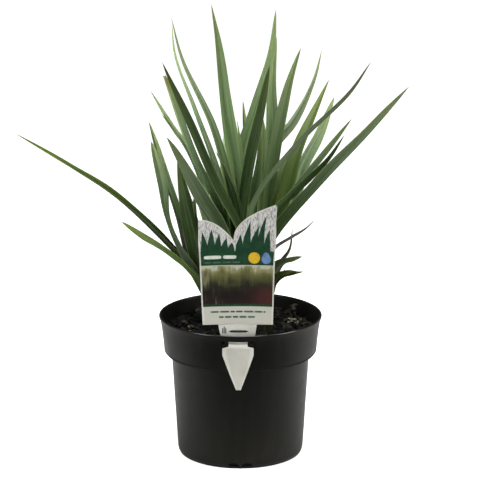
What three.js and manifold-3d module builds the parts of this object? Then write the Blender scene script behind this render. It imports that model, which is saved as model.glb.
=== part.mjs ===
// Potted flax lily: a clump of strap-leaved shoots in a round nursery pot with a plant tag.
// Millimetres, +Z up. The origin is the centre of the pot's underside, and the tag faces -Y.

import * as THREE from 'three';
import { mergeVertices } from 'three/addons/utils/BufferGeometryUtils.js';
import Module from 'manifold-3d';

const wasm = await Module();
wasm.setup();

// Nursery pot
const POT_HEIGHT = 123.8;
const POT_SIDES = 48;
const FLOOR_THICKNESS = 1.8;
const FOOT_RADIUS = 50.8;
const BODY_FOOT_RADIUS = 54.3;
const BODY_FOOT_Z = 4;
const BODY_TOP_RADIUS = 59.5;
const COLLAR_Z = 89;
const COLLAR_FOOT_RADIUS = 65.9;
const LIP_RADIUS = 70.4;
const BODY_WALL = 1.3;
const FLOOR_INSET = 0.6;

// Points of the pot's profile as [radius, height], from the collar's foot and from the lip's edge
const COLLAR_OUTSIDE = [[-1.6, 1.2], [0, 3.2], [0.7, 12], [2, 23]];
const LIP_ROLL = [[-1.5, -5], [-0.3, -3.2], [0, -1.5], [-0.7, 0], [-1.9, 0], [-2.9, -2.1]];
const COLLAR_INSIDE = [[0.6, 23], [-0.7, 12], [-1.4, 3.8], [-2.5, 2.7]];

// Tag slot in the collar
const SLOT = { left: -15.8, right: 11.8, bottom: 114.3, top: 118.2 };
const SLOT_CUT_DEPTH = 16;

// Drain notches: a pair of arches at each quarter of the foot
const NOTCH_PAIRS = 4;
const NOTCH_RADIUS = 5;
const NOTCH_SPACING = 11.6;
const NOTCH_CENTRE_Z = 1.4;
const NOTCH_DEPTH = 8;
const NOTCH_SIDES = 12;

// Potting mix: its [radius, height] points inside the pot and the fall of its top to the edge
const MIX_PROFILE = [[0, 2.2], [49.6, 2.2], [52.5, 5.2], [57.7, 91], [63, 92.2], [64.1, 93.3],
  [64.8, 102]];
const MIX_EDGE_RADIUS = 65.8;
const MIX_TOP_Z = 112;
const MIX_FALL = 2;
const MIX_TOP_START_Z = 109;
const MIX_SIDES = 32;
const MIX_RINGS = 6;

// Bark lumps: [x rate, y rate, shift] of two coarse waves and two fine ones, each pair multiplied
const COARSE_WAVES = [[0.21, 0, 1.3], [0, 0.24, 1.17]];
const FINE_WAVES = [[0.47, -0.36, 0], [0.52, 0.39, 2.1]];
const LUMP_HEIGHT = 0.75;
const LUMP_FADE = 6;

// Plant tag
const TAG_THICKNESS = 0.7;
const TAG_COLUMNS = 12;
const TAG_BOW = 3;
const TAG_HALF_WIDTH = 32;
const NOTCH_SHARE = 0.454;
const NOTCH_Z = 205.3;
const LEFT_CORNER_Z = 223.6;
const RIGHT_CORNER_Z = 236.2;
const LEFT_LOBE_POWER = 2.1;
const RIGHT_LOBE_POWER = 0.42;
const RIGHT_COLUMN_POWER = 1.6;

// Stem bases, as [radius, height], and the holes they stand in
const STEM_PROFILE = [[0, 94], [5, 94], [6, 100], [6, 112], [4, 122], [0, 134]];
const STEM_SIDES = 10;
const STEM_HOLE_FOOT_Z = 93.5;
const STEM_HOLE_RADIUS = 6.5;
const STEM_HOLE_SIDES = 16;

// Leaves: the section's fold near the root and where along the length it opens and widens
const LEAF_THICKNESS = 0.7;
const LEAF_STEPS = 8;
const LEAF_SIDES = 6;
const BASE_FOLD = 24;
const OPENING_START = 0.15;
const OPENING_END = 0.6;
const LEAST_FOLD_RATIO = 1.5;
const BASE_WIDTH_SHARE = 0.6;
const FULL_WIDTH_AT = 0.5;
const TIP_BLUNTNESS = 0.75;
const AXIS_TOLERANCE = 1e-6;
const MERGE_TOLERANCE = 1e-4;
const SHORTEST_EDGE = 0.02;

const MATERIALS = {
  pot: new THREE.MeshStandardMaterial({ color: 0x191a1a, roughness: 0.42, metalness: 0 }),
  mix: new THREE.MeshStandardMaterial({ color: 0x2b2019, roughness: 0.95, metalness: 0 }),
  tag: new THREE.MeshStandardMaterial({ color: 0xe9ebe6, roughness: 0.35, metalness: 0 }),
  leaf: new THREE.MeshStandardMaterial({ color: 0x4d7446, roughness: 0.5, metalness: 0 }),
  youngLeaf: new THREE.MeshStandardMaterial({ color: 0x76905a, roughness: 0.5, metalness: 0 }),
};

// Each leaf is a strap folded along its keel. Its route runs from the root to the tip. faces is the
// compass angle that its upper side faces, counted from +X towards +Y, so -90 is the front, and turn
// is added by the tip. open is half the angle between its two wings in the blade, and taper is the
// share of the length over which it narrows to the tip.
const SHOOTS = {
  shoot_left: {
    foot: [-16, 0],
    leaves: [
      { route: [[-17, -1, 108], [-36, -6, 157], [-59, -8, 185], [-105, -14, 231], [-146, -20, 260],
        [-189, -25, 288]],
        width: 14, faces: 30, turn: -95, open: 45, taper: 0.95 },
      { route: [[-16, -2, 108], [-35, -13, 153], [-58, -23, 181], [-82, -32, 200], [-100, -42, 216]],
        width: 8, faces: 10, turn: 100, open: 65, taper: 0.3 },
      { route: [[-16, 1, 108], [-36, -6, 155], [-50, -10, 181], [-62, -15, 210], [-67, -21, 246],
        [-75, -28, 282]],
        width: 22.5, faces: 60, turn: -110, open: 75, taper: 0.5 },
      { route: [[-15, 2, 108], [-42, 1, 166], [-53, 3, 207], [-62, 4, 236], [-78, 6, 292]],
        width: 16, faces: 25, turn: -80, open: 55, taper: 0.6 },
      { route: [[-15, -1, 108], [-31, -9, 165], [-41, -16, 205], [-47, -23, 235], [-53, -30, 267]],
        width: 22, faces: 105, turn: 40, open: 70, taper: 0.65 },
      { route: [[-15, 0, 108], [-32, -6, 166], [-39, -10, 199], [-39, -16, 232]],
        width: 15, faces: 105, turn: 20, open: 60, taper: 0.55 },
      { route: [[-16, 1, 108], [-31, -11, 156], [-38, -18, 188], [-43, -19, 205]],
        width: 8, faces: -32, turn: 0, open: 56, taper: 0.7 },
      { route: [[-16, -2, 108], [-30, -13, 148], [-38, -22, 164], [-44, -24, 174]],
        width: 8, faces: -20, turn: 0, open: 50, taper: 0.7 },
    ],
  },
  shoot_front_left: {
    foot: [-8, -13],
    leaves: [
      { route: [[-8, -13, 108], [-9, -22, 165], [-19, -31, 206], [-34, -36, 233], [-61.5, -48, 290]],
        width: 21, faces: 100, turn: -55, open: 50, taper: 0.35 },
      { route: [[-8, -11, 108], [-22, -5, 198], [-41, 4, 265], [-55, 7, 283], [-77, 14, 317.5]],
        width: 17, faces: 0, turn: 10, open: 52, taper: 0.35 },
      { route: [[-8, -12, 108], [-22.5, -2, 200], [-43, 6, 262], [-68, 8, 299]],
        width: 13, faces: -15, turn: 5, open: 55, taper: 0.55 },
      { route: [[-7, -14, 108], [2.5, -19, 162], [3, -24, 199], [-20.5, -34, 252], [-41, -45, 303],
        [-64.5, -56, 355]],
        width: 14.5, faces: 136, turn: 10, open: 50, taper: 0.35 },
      { route: [[-8, -12, 108], [-11, -16, 173], [-21, -20, 226], [-38, -23, 262], [-64, -30, 338]],
        width: 15, faces: -28, turn: 5, open: 63, taper: 0.3 },
      { route: [[-7, -12, 108], [-9, -13, 190], [-20, -13, 251], [-39, -12, 307], [-55, -12, 353],
        [-57.5, -12, 380]],
        width: 22.5, faces: -36, turn: 50, open: 65, taper: 0.9 },
      { route: [[-6, -13, 108], [-5, -16, 182], [-10, -20, 236], [-23, -23, 291], [-48.5, -28, 350],
        [-57.5, -32, 388.5]],
        width: 17, faces: -60, turn: 42, open: 60, taper: 0.95 },
      { route: [[-6, -14, 108], [1, -18, 190], [-3, -20, 231], [-11, -23, 253], [-21, -24, 273]],
        width: 9, faces: 120, turn: 0, open: 60, taper: 0.7 },
    ],
  },
  shoot_centre: {
    foot: [0, 4],
    leaves: [
      { route: [[0, 4, 108], [3, 2, 177], [-3, -1, 242], [-12, -3, 299], [-18, -5, 351],
        [-24.5, -8, 395]],
        width: 19, faces: -68, turn: 45, open: 70, taper: 0.4 },
      { route: [[0, 5, 108], [4, 8, 200], [5, 10, 254], [2, 14, 309]],
        width: 16.5, faces: -45, turn: 5, open: 62, taper: 0.65 },
      { route: [[0, 3, 108], [3.5, -2, 200], [1, -4, 262], [-3, -6, 297]],
        width: 8.5, faces: -58, turn: 5, open: 60, taper: 0.8 },
      { route: [[1, 5, 108], [-0.5, 7, 184], [-0.5, 7, 256], [13, 8, 303], [26, 10, 349],
        [30, 12, 387]],
        width: 11.5, faces: -120, turn: 25, open: 65, taper: 0.45 },
      { route: [[0, 3, 108], [1, -3, 170], [1, -8, 215], [7, -13, 260], [16, -18, 303],
        [24.5, -22, 346]],
        width: 11.5, faces: 67, turn: 0, open: 60, taper: 0.35 },
      { route: [[1, 4, 108], [6.5, 5, 200], [16, 3, 258], [17, 0, 286]],
        width: 11, faces: -92, turn: 5, open: 60, taper: 0.55 },
    ],
  },
  shoot_right: {
    foot: [14, -6],
    leaves: [
      { route: [[13, -7, 108], [7, -17, 173], [12, -23, 227], [51, -33, 283], [91, -42, 325.5],
        [108, -52, 354.5]],
        width: 9.5, faces: 150, turn: -25, open: 55, taper: 0.35 },
      { route: [[13, -5, 108], [14, -6, 160], [21, -8, 201], [34, -8, 219.5], [75, -8, 271],
        [94.5, -8, 297.5]],
        width: 14.5, faces: 160, turn: -12, open: 52, taper: 0.3 },
      { route: [[13, -6, 108], [17, -10, 165], [28, -15, 216], [46, -19, 236], [72.5, -24, 264],
        [87.5, -30, 288]],
        width: 18, faces: 158, turn: 7, open: 50, taper: 0.4 },
      { route: [[14, -6, 108], [16.5, -13, 161], [27, -18, 195], [67, -26, 247], [107, -35, 292.5],
        [140, -44, 332]],
        width: 19, faces: 129, turn: 22, open: 45, taper: 0.4 },
    ],
  },
  shoot_young: {
    foot: [23.5, -15],
    leaves: [
      { route: [[23.5, -15, 108], [25, -20, 151], [27, -25, 185], [43, -23, 197], [55.5, -19, 204],
        [64.5, -20, 213.5]],
        width: 7, faces: 127, turn: -20, open: 50, taper: 0.8 },
      { route: [[23.5, -14, 108], [26, -15, 149], [34, -13, 171], [42, -13, 184], [44.5, -12, 203]],
        width: 11.5, faces: 196, turn: -10, open: 55, taper: 0.75 },
      { route: [[23.5, -16, 108], [26, -24, 158], [33, -29, 175], [43, -31, 179.5], [52.5, -32, 183]],
        width: 14.5, faces: 110, turn: -18, open: 57, taper: 0.5 },
      { route: [[24.5, -16, 108], [23.5, -29, 152], [33, -36, 166.5], [42.5, -39, 170.5],
        [54, -40, 172]],
        width: 12, faces: 95, turn: -20, open: 56, taper: 0.6 },
      { route: [[23.5, -16, 108], [27, -23, 148], [33, -28, 163], [39, -31, 173]],
        width: 6, faces: 120, turn: 0, open: 55, taper: 0.9 },
    ],
  },
  shoot_back_right: {
    foot: [13, 16],
    leaves: [
      { route: [[12, 17, 108], [20, 21, 201], [28, 27, 273], [27.5, 32, 317], [31, 38, 359.5]],
        width: 17, faces: -110, turn: -12, open: 63, taper: 0.6 },
      { route: [[14, 16, 108], [22, 17, 200], [29, 18, 257.5], [35, 19, 289], [42, 21, 321.5],
        [51.5, 22, 352.5]],
        width: 17, faces: -124, turn: -15, open: 66, taper: 0.45 },
      { route: [[12, 17, 108], [17, 24, 200], [25.5, 30, 262], [45, 35, 286], [62.5, 39, 321],
        [70, 44, 347]],
        width: 19, faces: -122, turn: 90, open: 60, taper: 0.85 },
      { route: [[14, 15, 108], [26, 12, 183], [39, 11, 227], [50, 10, 266.5], [63, 9, 298.5],
        [75.5, 8, 328]],
        width: 24, faces: -126, turn: -25, open: 66, taper: 0.7 },
      { route: [[15, 18, 108], [27, 24, 184], [48, 28, 223], [54, 32, 246], [67.5, 36, 272],
        [81, 40, 306.5]],
        width: 11, faces: -108, turn: 10, open: 70, taper: 0.3 },
      { route: [[12, 19, 108], [16, 25, 190], [20, 25, 250], [20, 24, 276], [18, 24, 296]],
        width: 16, faces: -100, turn: 0, open: 64, taper: 0.7 },
      { route: [[14, 17, 108], [22, 22, 180], [29.5, 26, 217], [37.5, 26, 241], [49, 26, 267]],
        width: 16, faces: -144, turn: 20, open: 65, taper: 0.3 },
    ],
  },
  shoot_back_left: {
    foot: [-16, 15],
    leaves: [
      { route: [[-16, 15, 108], [-22, 30, 170], [-33, 49, 204], [-44, 62, 222]],
        width: 13, faces: -60, turn: 0, open: 62, taper: 0.5 },
      { route: [[-16, 16, 108], [-20, 34, 165], [-28, 66, 194], [-38, 100, 205]],
        width: 13, faces: -75, turn: 0, open: 60, taper: 0.6 },
      { route: [[-17, 15, 108], [-26, 30, 150], [-38, 55, 176], [-52, 84, 186]],
        width: 12, faces: -60, turn: 0, open: 60, taper: 0.6 },
      { route: [[-15, 15, 108], [-18, 30, 175], [-22, 52, 214], [-30, 88, 236]],
        width: 14, faces: -80, turn: 0, open: 62, taper: 0.6 },
      { route: [[-16, 14, 108], [-14, 24, 190], [-12, 40, 255], [-10, 60, 294]],
        width: 14, faces: -85, turn: 0, open: 64, taper: 0.5 },
    ],
  },
  shoot_back: {
    foot: [-1, 22],
    leaves: [
      { route: [[-1, 22, 108], [-4, 42, 190], [-8, 68, 238], [-12, 104, 262]],
        width: 14, faces: -90, turn: 0, open: 64, taper: 0.6 },
      { route: [[0, 22, 108], [3, 40, 195], [6, 62, 250], [8, 96, 285]],
        width: 13, faces: -95, turn: 0, open: 64, taper: 0.6 },
      { route: [[-1, 23, 108], [0, 52, 165], [2, 92, 200], [4, 128, 215]],
        width: 13, faces: -90, turn: 0, open: 60, taper: 0.6 },
      { route: [[0, 23, 108], [9, 46, 178], [18, 66, 222], [26, 84, 250]],
        width: 13, faces: -110, turn: 0, open: 62, taper: 0.6 },
      { route: [[0, 24, 108], [10, 50, 160], [20, 82, 194], [30, 112, 210]],
        width: 12, faces: -105, turn: 0, open: 60, taper: 0.7 },
      { route: [[1, 22, 108], [18, 48, 159], [36, 74, 195], [57.5, 95, 214.5]],
        width: 12.5, faces: -112, turn: 7, open: 60, taper: 0.35 },
    ],
  },
};

// Turns a closed geometry into a solid with shared vertices.
function solidFrom(geometry) {
  const bare = geometry.clone();
  bare.deleteAttribute('normal');
  bare.deleteAttribute('uv');
  const merged = mergeVertices(bare, MERGE_TOLERANCE);
  return new wasm.Manifold(new wasm.Mesh({
    numProp: 3,
    vertProperties: Float32Array.from(merged.attributes.position.array),
    triVerts: Uint32Array.from(merged.index.array),
  }));
}

// Joins solids, fills the hollows that joining seals, keeps the largest body and drops the slivers.
function fuse(solids) {
  const joined = solids.reduce((whole, next) => whole.add(next));
  const bodies = joined.decompose().filter((body) => body.volume() > 0);
  bodies.sort((a, b) => b.volume() - a.volume());
  return bodies[0].simplify(SHORTEST_EDGE);
}

// Turns a solid into a named mesh.
function meshFrom(name, solid, material) {
  const { vertProperties, triVerts } = solid.getMesh();
  const geometry = new THREE.BufferGeometry();
  geometry.setAttribute('position', new THREE.BufferAttribute(vertProperties, 3));
  geometry.setIndex(new THREE.BufferAttribute(triVerts, 1));
  geometry.computeVertexNormals();
  const mesh = new THREE.Mesh(geometry, material);
  mesh.name = name;
  return mesh;
}

// A solid of revolution about Z from [radius, height] points that start and end on the axis.
function turned(points, sides) {
  const profile = points.map(([radius, height]) => new THREE.Vector2(radius, height));
  return new THREE.LatheGeometry(profile, sides).rotateX(Math.PI / 2);
}

// Profile points moved from their own origin to the given radius and height.
function moved(points, radius, height) {
  return points.map((point) => [point[0] + radius, point[1] + height]);
}

function makePot() {
  const shell = solidFrom(turned([
    [0, 0],
    [FOOT_RADIUS, 0],
    [BODY_FOOT_RADIUS, BODY_FOOT_Z],
    [BODY_TOP_RADIUS, COLLAR_Z],
    ...moved(COLLAR_OUTSIDE, COLLAR_FOOT_RADIUS, COLLAR_Z),
    ...moved(LIP_ROLL, LIP_RADIUS, POT_HEIGHT),
    ...moved(COLLAR_INSIDE, COLLAR_FOOT_RADIUS, COLLAR_Z),
    [BODY_TOP_RADIUS - BODY_WALL, COLLAR_Z + BODY_WALL],
    [BODY_FOOT_RADIUS - BODY_WALL, BODY_FOOT_Z + FLOOR_INSET],
    [FOOT_RADIUS - FLOOR_INSET, FLOOR_THICKNESS],
    [0, FLOOR_THICKNESS],
  ], POT_SIDES));
  const slotBox = new THREE.BoxGeometry(
    SLOT.right - SLOT.left,
    SLOT_CUT_DEPTH,
    SLOT.top - SLOT.bottom,
  );
  slotBox.translate((SLOT.left + SLOT.right) / 2, -COLLAR_FOOT_RADIUS, (SLOT.top + SLOT.bottom) / 2);
  const cutters = [solidFrom(slotBox)];
  for (let pair = 0; pair < NOTCH_PAIRS; pair += 1) {
    for (const side of [-0.5, 0.5]) {
      const arch = new THREE.CylinderGeometry(
        NOTCH_RADIUS,
        NOTCH_RADIUS,
        NOTCH_DEPTH,
        NOTCH_SIDES,
      );
      arch.translate(side * NOTCH_SPACING, -BODY_FOOT_RADIUS, NOTCH_CENTRE_Z);
      arch.rotateZ((pair * 2 * Math.PI) / NOTCH_PAIRS);
      cutters.push(solidFrom(arch));
    }
  }
  const pot = cutters.reduce((whole, cutter) => whole.subtract(cutter), shell);
  return meshFrom('pot', pot, MATERIALS.pot);
}

// Product of waves at a place on the potting mix.
function crossedWaves(waves, x, y) {
  return waves.reduce(
    (product, [xRate, yRate, shift]) => product * Math.sin(xRate * x + yRate * y + shift),
    1,
  );
}

// Height of the bark lumps at a place on the potting mix.
function lump(x, y) {
  return LUMP_HEIGHT * (crossedWaves(COARSE_WAVES, x, y) + crossedWaves(FINE_WAVES, x, y));
}

function makePottingMix() {
  const profile = [...MIX_PROFILE];
  for (let ring = MIX_RINGS; ring >= 0; ring -= 1) {
    const share = ring / MIX_RINGS;
    profile.push([MIX_EDGE_RADIUS * share, MIX_TOP_Z - MIX_FALL * share ** 2]);
  }
  const geometry = turned(profile, MIX_SIDES);
  const position = geometry.attributes.position;
  for (let i = 0; i < position.count; i += 1) {
    const [x, y, z] = [position.getX(i), position.getY(i), position.getZ(i)];
    if (z > MIX_TOP_START_Z) {
      const fade = Math.min(1, (MIX_EDGE_RADIUS - Math.hypot(x, y)) / LUMP_FADE);
      position.setZ(i, z + fade * lump(x, y));
    }
  }
  let mix = solidFrom(geometry);
  for (const { foot } of Object.values(SHOOTS)) {
    const hole = turned([
      [0, STEM_HOLE_FOOT_Z],
      [STEM_HOLE_RADIUS, STEM_HOLE_FOOT_Z],
      [STEM_HOLE_RADIUS, POT_HEIGHT],
      [0, POT_HEIGHT],
    ], STEM_HOLE_SIDES);
    mix = mix.subtract(solidFrom(hole.translate(foot[0], foot[1], 0)));
  }
  return meshFrom('potting_mix', mix, MATERIALS.mix);
}

// Tag outline as rows from the stake's tip up to the card: height, depth and side edges.
const TAG_ROWS = [
  { z: 76.4, y: -69.7, left: -3.7, right: 0.3 },
  { z: 92, y: -69.7, left: -9.8, right: 6 },
  { z: 107, y: -69.7, left: -15.2, right: 11.1 },
  { z: 113.2, y: -69.6, left: -15.2, right: 11.1 },
  { z: 114.5, y: -69.3, left: -10, right: 6 },
  { z: 117.6, y: -65.6, left: -10, right: 6 },
  { z: 119.4, y: -64.9, left: -11, right: 7 },
  { z: 122, y: -64.8, left: -16.6, right: 12.2 },
  { z: 132.6, y: -64.6, left: -18.6, right: 13.8 },
  { z: 133, y: -64.6, left: -31.6, right: 27.2 },
  { z: 160, y: -64.4, left: -32.8, right: 27.9 },
  { z: 190, y: -64.2, left: -34.1, right: 28.7 },
  { z: 204, y: -64.1, left: -35, right: 29.6 },
];
const CARD_ROW = 9;

// Height of the card's top edge at x: a falling left lobe, the notch and a rising right lobe.
function cardTop(x, left, right) {
  const notch = left + NOTCH_SHARE * (right - left);
  if (x <= notch) {
    return NOTCH_Z + (LEFT_CORNER_Z - NOTCH_Z) * (1 - ((x - left) / (notch - left)) ** LEFT_LOBE_POWER);
  }
  const share = (x - notch) / (right - notch);
  return NOTCH_Z + (RIGHT_CORNER_Z - NOTCH_Z) * share ** RIGHT_LOBE_POWER;
}

// Column position between the side edges: even left of the notch, closer together right of it.
function columnX(share, left, right) {
  const notch = left + NOTCH_SHARE * (right - left);
  if (share <= 0.5) {
    return left + 2 * share * (notch - left);
  }
  return notch + (2 * share - 1) ** RIGHT_COLUMN_POWER * (right - notch);
}

function makeTag() {
  const rows = TAG_ROWS.length;
  const geometry = new THREE.BoxGeometry(1, 1, 1, TAG_COLUMNS, rows, 1);
  const position = geometry.attributes.position;
  const last = TAG_ROWS[rows - 1];
  for (let i = 0; i < position.count; i += 1) {
    const row = Math.round((position.getY(i) + 0.5) * rows);
    const { z, y, left, right } = TAG_ROWS[Math.min(row, rows - 1)];
    const x = columnX(position.getX(i) + 0.5, left, right);
    const isTop = row === rows;
    const next = TAG_ROWS[Math.min(row + 1, rows - 1)];
    const before = TAG_ROWS[Math.max(row - 1, 0)];
    const slope = row >= rows - 1 ? 0 : Math.atan2(next.y - before.y, next.z - before.z);
    const bow = row >= CARD_ROW ? TAG_BOW * (x / TAG_HALF_WIDTH) ** 2 : 0;
    const offset = -position.getZ(i) * TAG_THICKNESS;
    position.setXYZ(
      i,
      x,
      y - bow + offset * Math.cos(slope),
      (isTop ? cardTop(x, last.left, last.right) : z) - offset * Math.sin(slope),
    );
  }
  return meshFrom('plant_tag', solidFrom(geometry), MATERIALS.tag);
}

const radians = THREE.MathUtils.degToRad;

// Width of the blade at a share of its length, as a share of its full width.
function widthShare(share, taper) {
  const swell = THREE.MathUtils.smoothstep(share, 0, FULL_WIDTH_AT);
  const body = BASE_WIDTH_SHARE + (1 - BASE_WIDTH_SHARE) * swell;
  const toTip = Math.min((1 - share) / taper, 1);
  return body * (1 - (1 - toTip) ** 2) ** TIP_BLUNTNESS;
}

// Corners of the folded section as [across, up], from the inner keel round by the right wing.
function foldedSection(half, fold) {
  const sin = Math.sin(fold);
  const cos = Math.cos(fold);
  const middle = (half * cos) / 2;
  const outer = [half * sin, half * cos - middle];
  const inner = [outer[0] - LEAF_THICKNESS * cos, outer[1] + LEAF_THICKNESS * sin];
  return [
    [0, LEAF_THICKNESS / sin - middle],
    inner,
    outer,
    [0, -middle],
    [-outer[0], outer[1]],
    [-inner[0], inner[1]],
  ];
}

// One leaf: a six-sided cone whose corners are moved onto the folded section along the route.
function makeLeaf({ route, width, faces, turn, open, taper }) {
  const points = route.map((point) => new THREE.Vector3(...point));
  const curve = new THREE.CatmullRomCurve3(points, false, 'centripetal');
  const geometry = new THREE.ConeGeometry(1, 1, LEAF_SIDES, LEAF_STEPS);
  const position = geometry.attributes.position;
  const up = new THREE.Vector3(0, 0, 1);
  for (let i = 0; i < position.count; i += 1) {
    const share = position.getY(i) + 0.5;
    const place = curve.getPointAt(share);
    if (share < 1) {
      const angle = radians(faces + turn * share);
      const tangent = curve.getTangentAt(share);
      const across = up.clone().cross(new THREE.Vector3(Math.cos(angle), Math.sin(angle), 0));
      across.addScaledVector(tangent, -across.dot(tangent)).normalize();
      const upper = across.clone().cross(tangent);
      const half = (width / 2) * widthShare(share, taper);
      const blend = THREE.MathUtils.smoothstep(share, OPENING_START, OPENING_END);
      const wanted = radians(BASE_FOLD + (open - BASE_FOLD) * blend);
      const fold = Math.max(wanted, Math.atan((LEAST_FOLD_RATIO * LEAF_THICKNESS) / half));
      const corners = foldedSection(half, fold);
      const isCentre = Math.hypot(position.getX(i), position.getZ(i)) < AXIS_TOLERANCE;
      const turnShare = Math.atan2(position.getX(i), position.getZ(i)) / (2 * Math.PI);
      const corner = corners[(Math.round(turnShare * LEAF_SIDES) + LEAF_SIDES) % LEAF_SIDES];
      const middle = [0, (corners[0][1] + corners[3][1]) / 2];
      const [sideways, upwards] = isCentre ? middle : corner;
      place.addScaledVector(across, sideways).addScaledVector(upper, upwards);
    }
    position.setXYZ(i, place.x, place.y, place.z);
  }
  return solidFrom(geometry);
}

// One shoot: its stem base in the potting mix with all of its leaves.
function makeShoot(name, { foot, leaves }) {
  const stem = turned(STEM_PROFILE, STEM_SIDES);
  const base = solidFrom(stem.translate(foot[0], foot[1], 0));
  const material = name === 'shoot_young' ? MATERIALS.youngLeaf : MATERIALS.leaf;
  return meshFrom(name, fuse([base, ...leaves.map(makeLeaf)]), material);
}

const plant = new THREE.Group();
plant.add(makePot(), makePottingMix(), makeTag());
for (const [name, shoot] of Object.entries(SHOOTS)) {
  plant.add(makeShoot(name, shoot));
}

export default plant;
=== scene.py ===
"""Looks of the potted flax lily: pot, potting mix, plant tag and eight shoots of strap leaves."""
import logging
import math
import random
from dataclasses import dataclass
from enum import Enum
from functools import cached_property
from typing import Callable, ClassVar, Sequence

import bmesh
import bpy
from mathutils import Matrix, Vector, noise


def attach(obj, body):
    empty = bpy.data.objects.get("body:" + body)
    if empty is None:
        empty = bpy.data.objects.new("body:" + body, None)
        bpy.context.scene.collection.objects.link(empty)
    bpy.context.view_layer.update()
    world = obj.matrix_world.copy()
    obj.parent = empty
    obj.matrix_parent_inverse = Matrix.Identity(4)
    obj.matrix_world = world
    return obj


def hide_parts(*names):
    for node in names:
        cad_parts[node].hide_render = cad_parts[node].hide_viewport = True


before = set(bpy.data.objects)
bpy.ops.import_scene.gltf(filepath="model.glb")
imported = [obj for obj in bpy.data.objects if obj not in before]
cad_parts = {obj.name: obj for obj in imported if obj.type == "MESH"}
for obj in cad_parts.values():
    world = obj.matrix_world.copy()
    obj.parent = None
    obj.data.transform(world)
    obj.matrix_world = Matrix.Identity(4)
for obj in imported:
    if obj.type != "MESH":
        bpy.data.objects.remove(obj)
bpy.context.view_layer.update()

MM = 0.001
LOG = logging.getLogger("flax_lily")

Point = tuple[float, float, float]
Span = tuple[float, float]
Box = tuple[float, float, float, float]
Colour = tuple[float, float, float, float]
Values = dict[str | int, object]


def srgb(code: str) -> Colour:
    """Turns a colour such as "6b7f5a" into the linear values that a shader takes.

    Args:
        code: Six hexadecimal digits, red, green and blue.

    Returns:
        Linear red, green, blue and an alpha of 1.
    """
    parts = [int(code[i:i + 2], 16) / 255 for i in (0, 2, 4)]
    linear = [c / 12.92 if c <= 0.04045 else ((c + 0.055) / 1.055) ** 2.4 for c in parts]
    return (linear[0], linear[1], linear[2], 1.0)


def lerp(a: float, b: float, share: float) -> float:
    """Returns the value at a share of the way from a to b."""
    return a + (b - a) * share


def smoothstep(value: float, low: float, high: float) -> float:
    """Returns 0 below low, 1 above high and a smooth rise between them."""
    t = min(max((value - low) / (high - low), 0.0), 1.0)
    return t * t * (3 - 2 * t)


class Slot(Enum):
    """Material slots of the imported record."""

    POT = "pot_plastic"
    MIX = "bark_mix"
    TAG = "tag_plastic"
    LEAF = "leaf"
    YOUNG = "young_leaf"


class Tone(Enum):
    """Hues of a leaf: warmth towards yellow-green, bloom and plum tint."""

    DEEP = (0.05, 0.12, 0.0)
    OLIVE = (0.60, 0.00, 0.0)
    GREEN = (0.12, 0.35, 0.0)
    WARM = (0.45, 0.30, 0.0)
    GLAUCOUS = (0.00, 0.60, 0.0)
    SILVER = (0.00, 1.10, 0.0)
    SMOKY = (0.00, 0.50, 0.35)
    PLUM = (0.10, 0.20, 0.90)


class Signal:
    """One output in a node tree; plain arithmetic on it adds Math nodes."""

    def __init__(self, nodes: "Nodes", socket: bpy.types.NodeSocket) -> None:
        """Keeps the output and its tree."""
        self.nodes, self.socket = nodes, socket

    def __add__(self, other: object) -> "Signal":
        """Returns the sum of both."""
        return self.nodes.math("ADD", self, other)

    def __mul__(self, other: object) -> "Signal":
        """Returns the product of both."""
        return self.nodes.math("MULTIPLY", self, other)

    def __sub__(self, other: object) -> "Signal":
        """Returns this less the other."""
        return self.nodes.math("SUBTRACT", self, other)

    def __rsub__(self, other: object) -> "Signal":
        """Returns the other less this."""
        return self.nodes.math("SUBTRACT", other, self)

    def clamp(self) -> "Signal":
        """Returns the value held between 0 and 1."""
        return self.nodes.take(self.nodes.add("Clamp", {"Value": self}))

    def rise(self, low: float, high: float) -> "Signal":
        """Returns a mask that goes smoothly from 0 at low to 1 at high."""
        values = {"Value": self, "From Min": low, "From Max": high}
        return self.nodes.take(self.nodes.add("MapRange", values, interpolation_type="SMOOTHSTEP"))

    def fall(self, low: float, high: float) -> "Signal":
        """Returns a mask that goes smoothly from 1 at low to 0 at high."""
        return 1.0 - self.rise(low, high)


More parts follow.
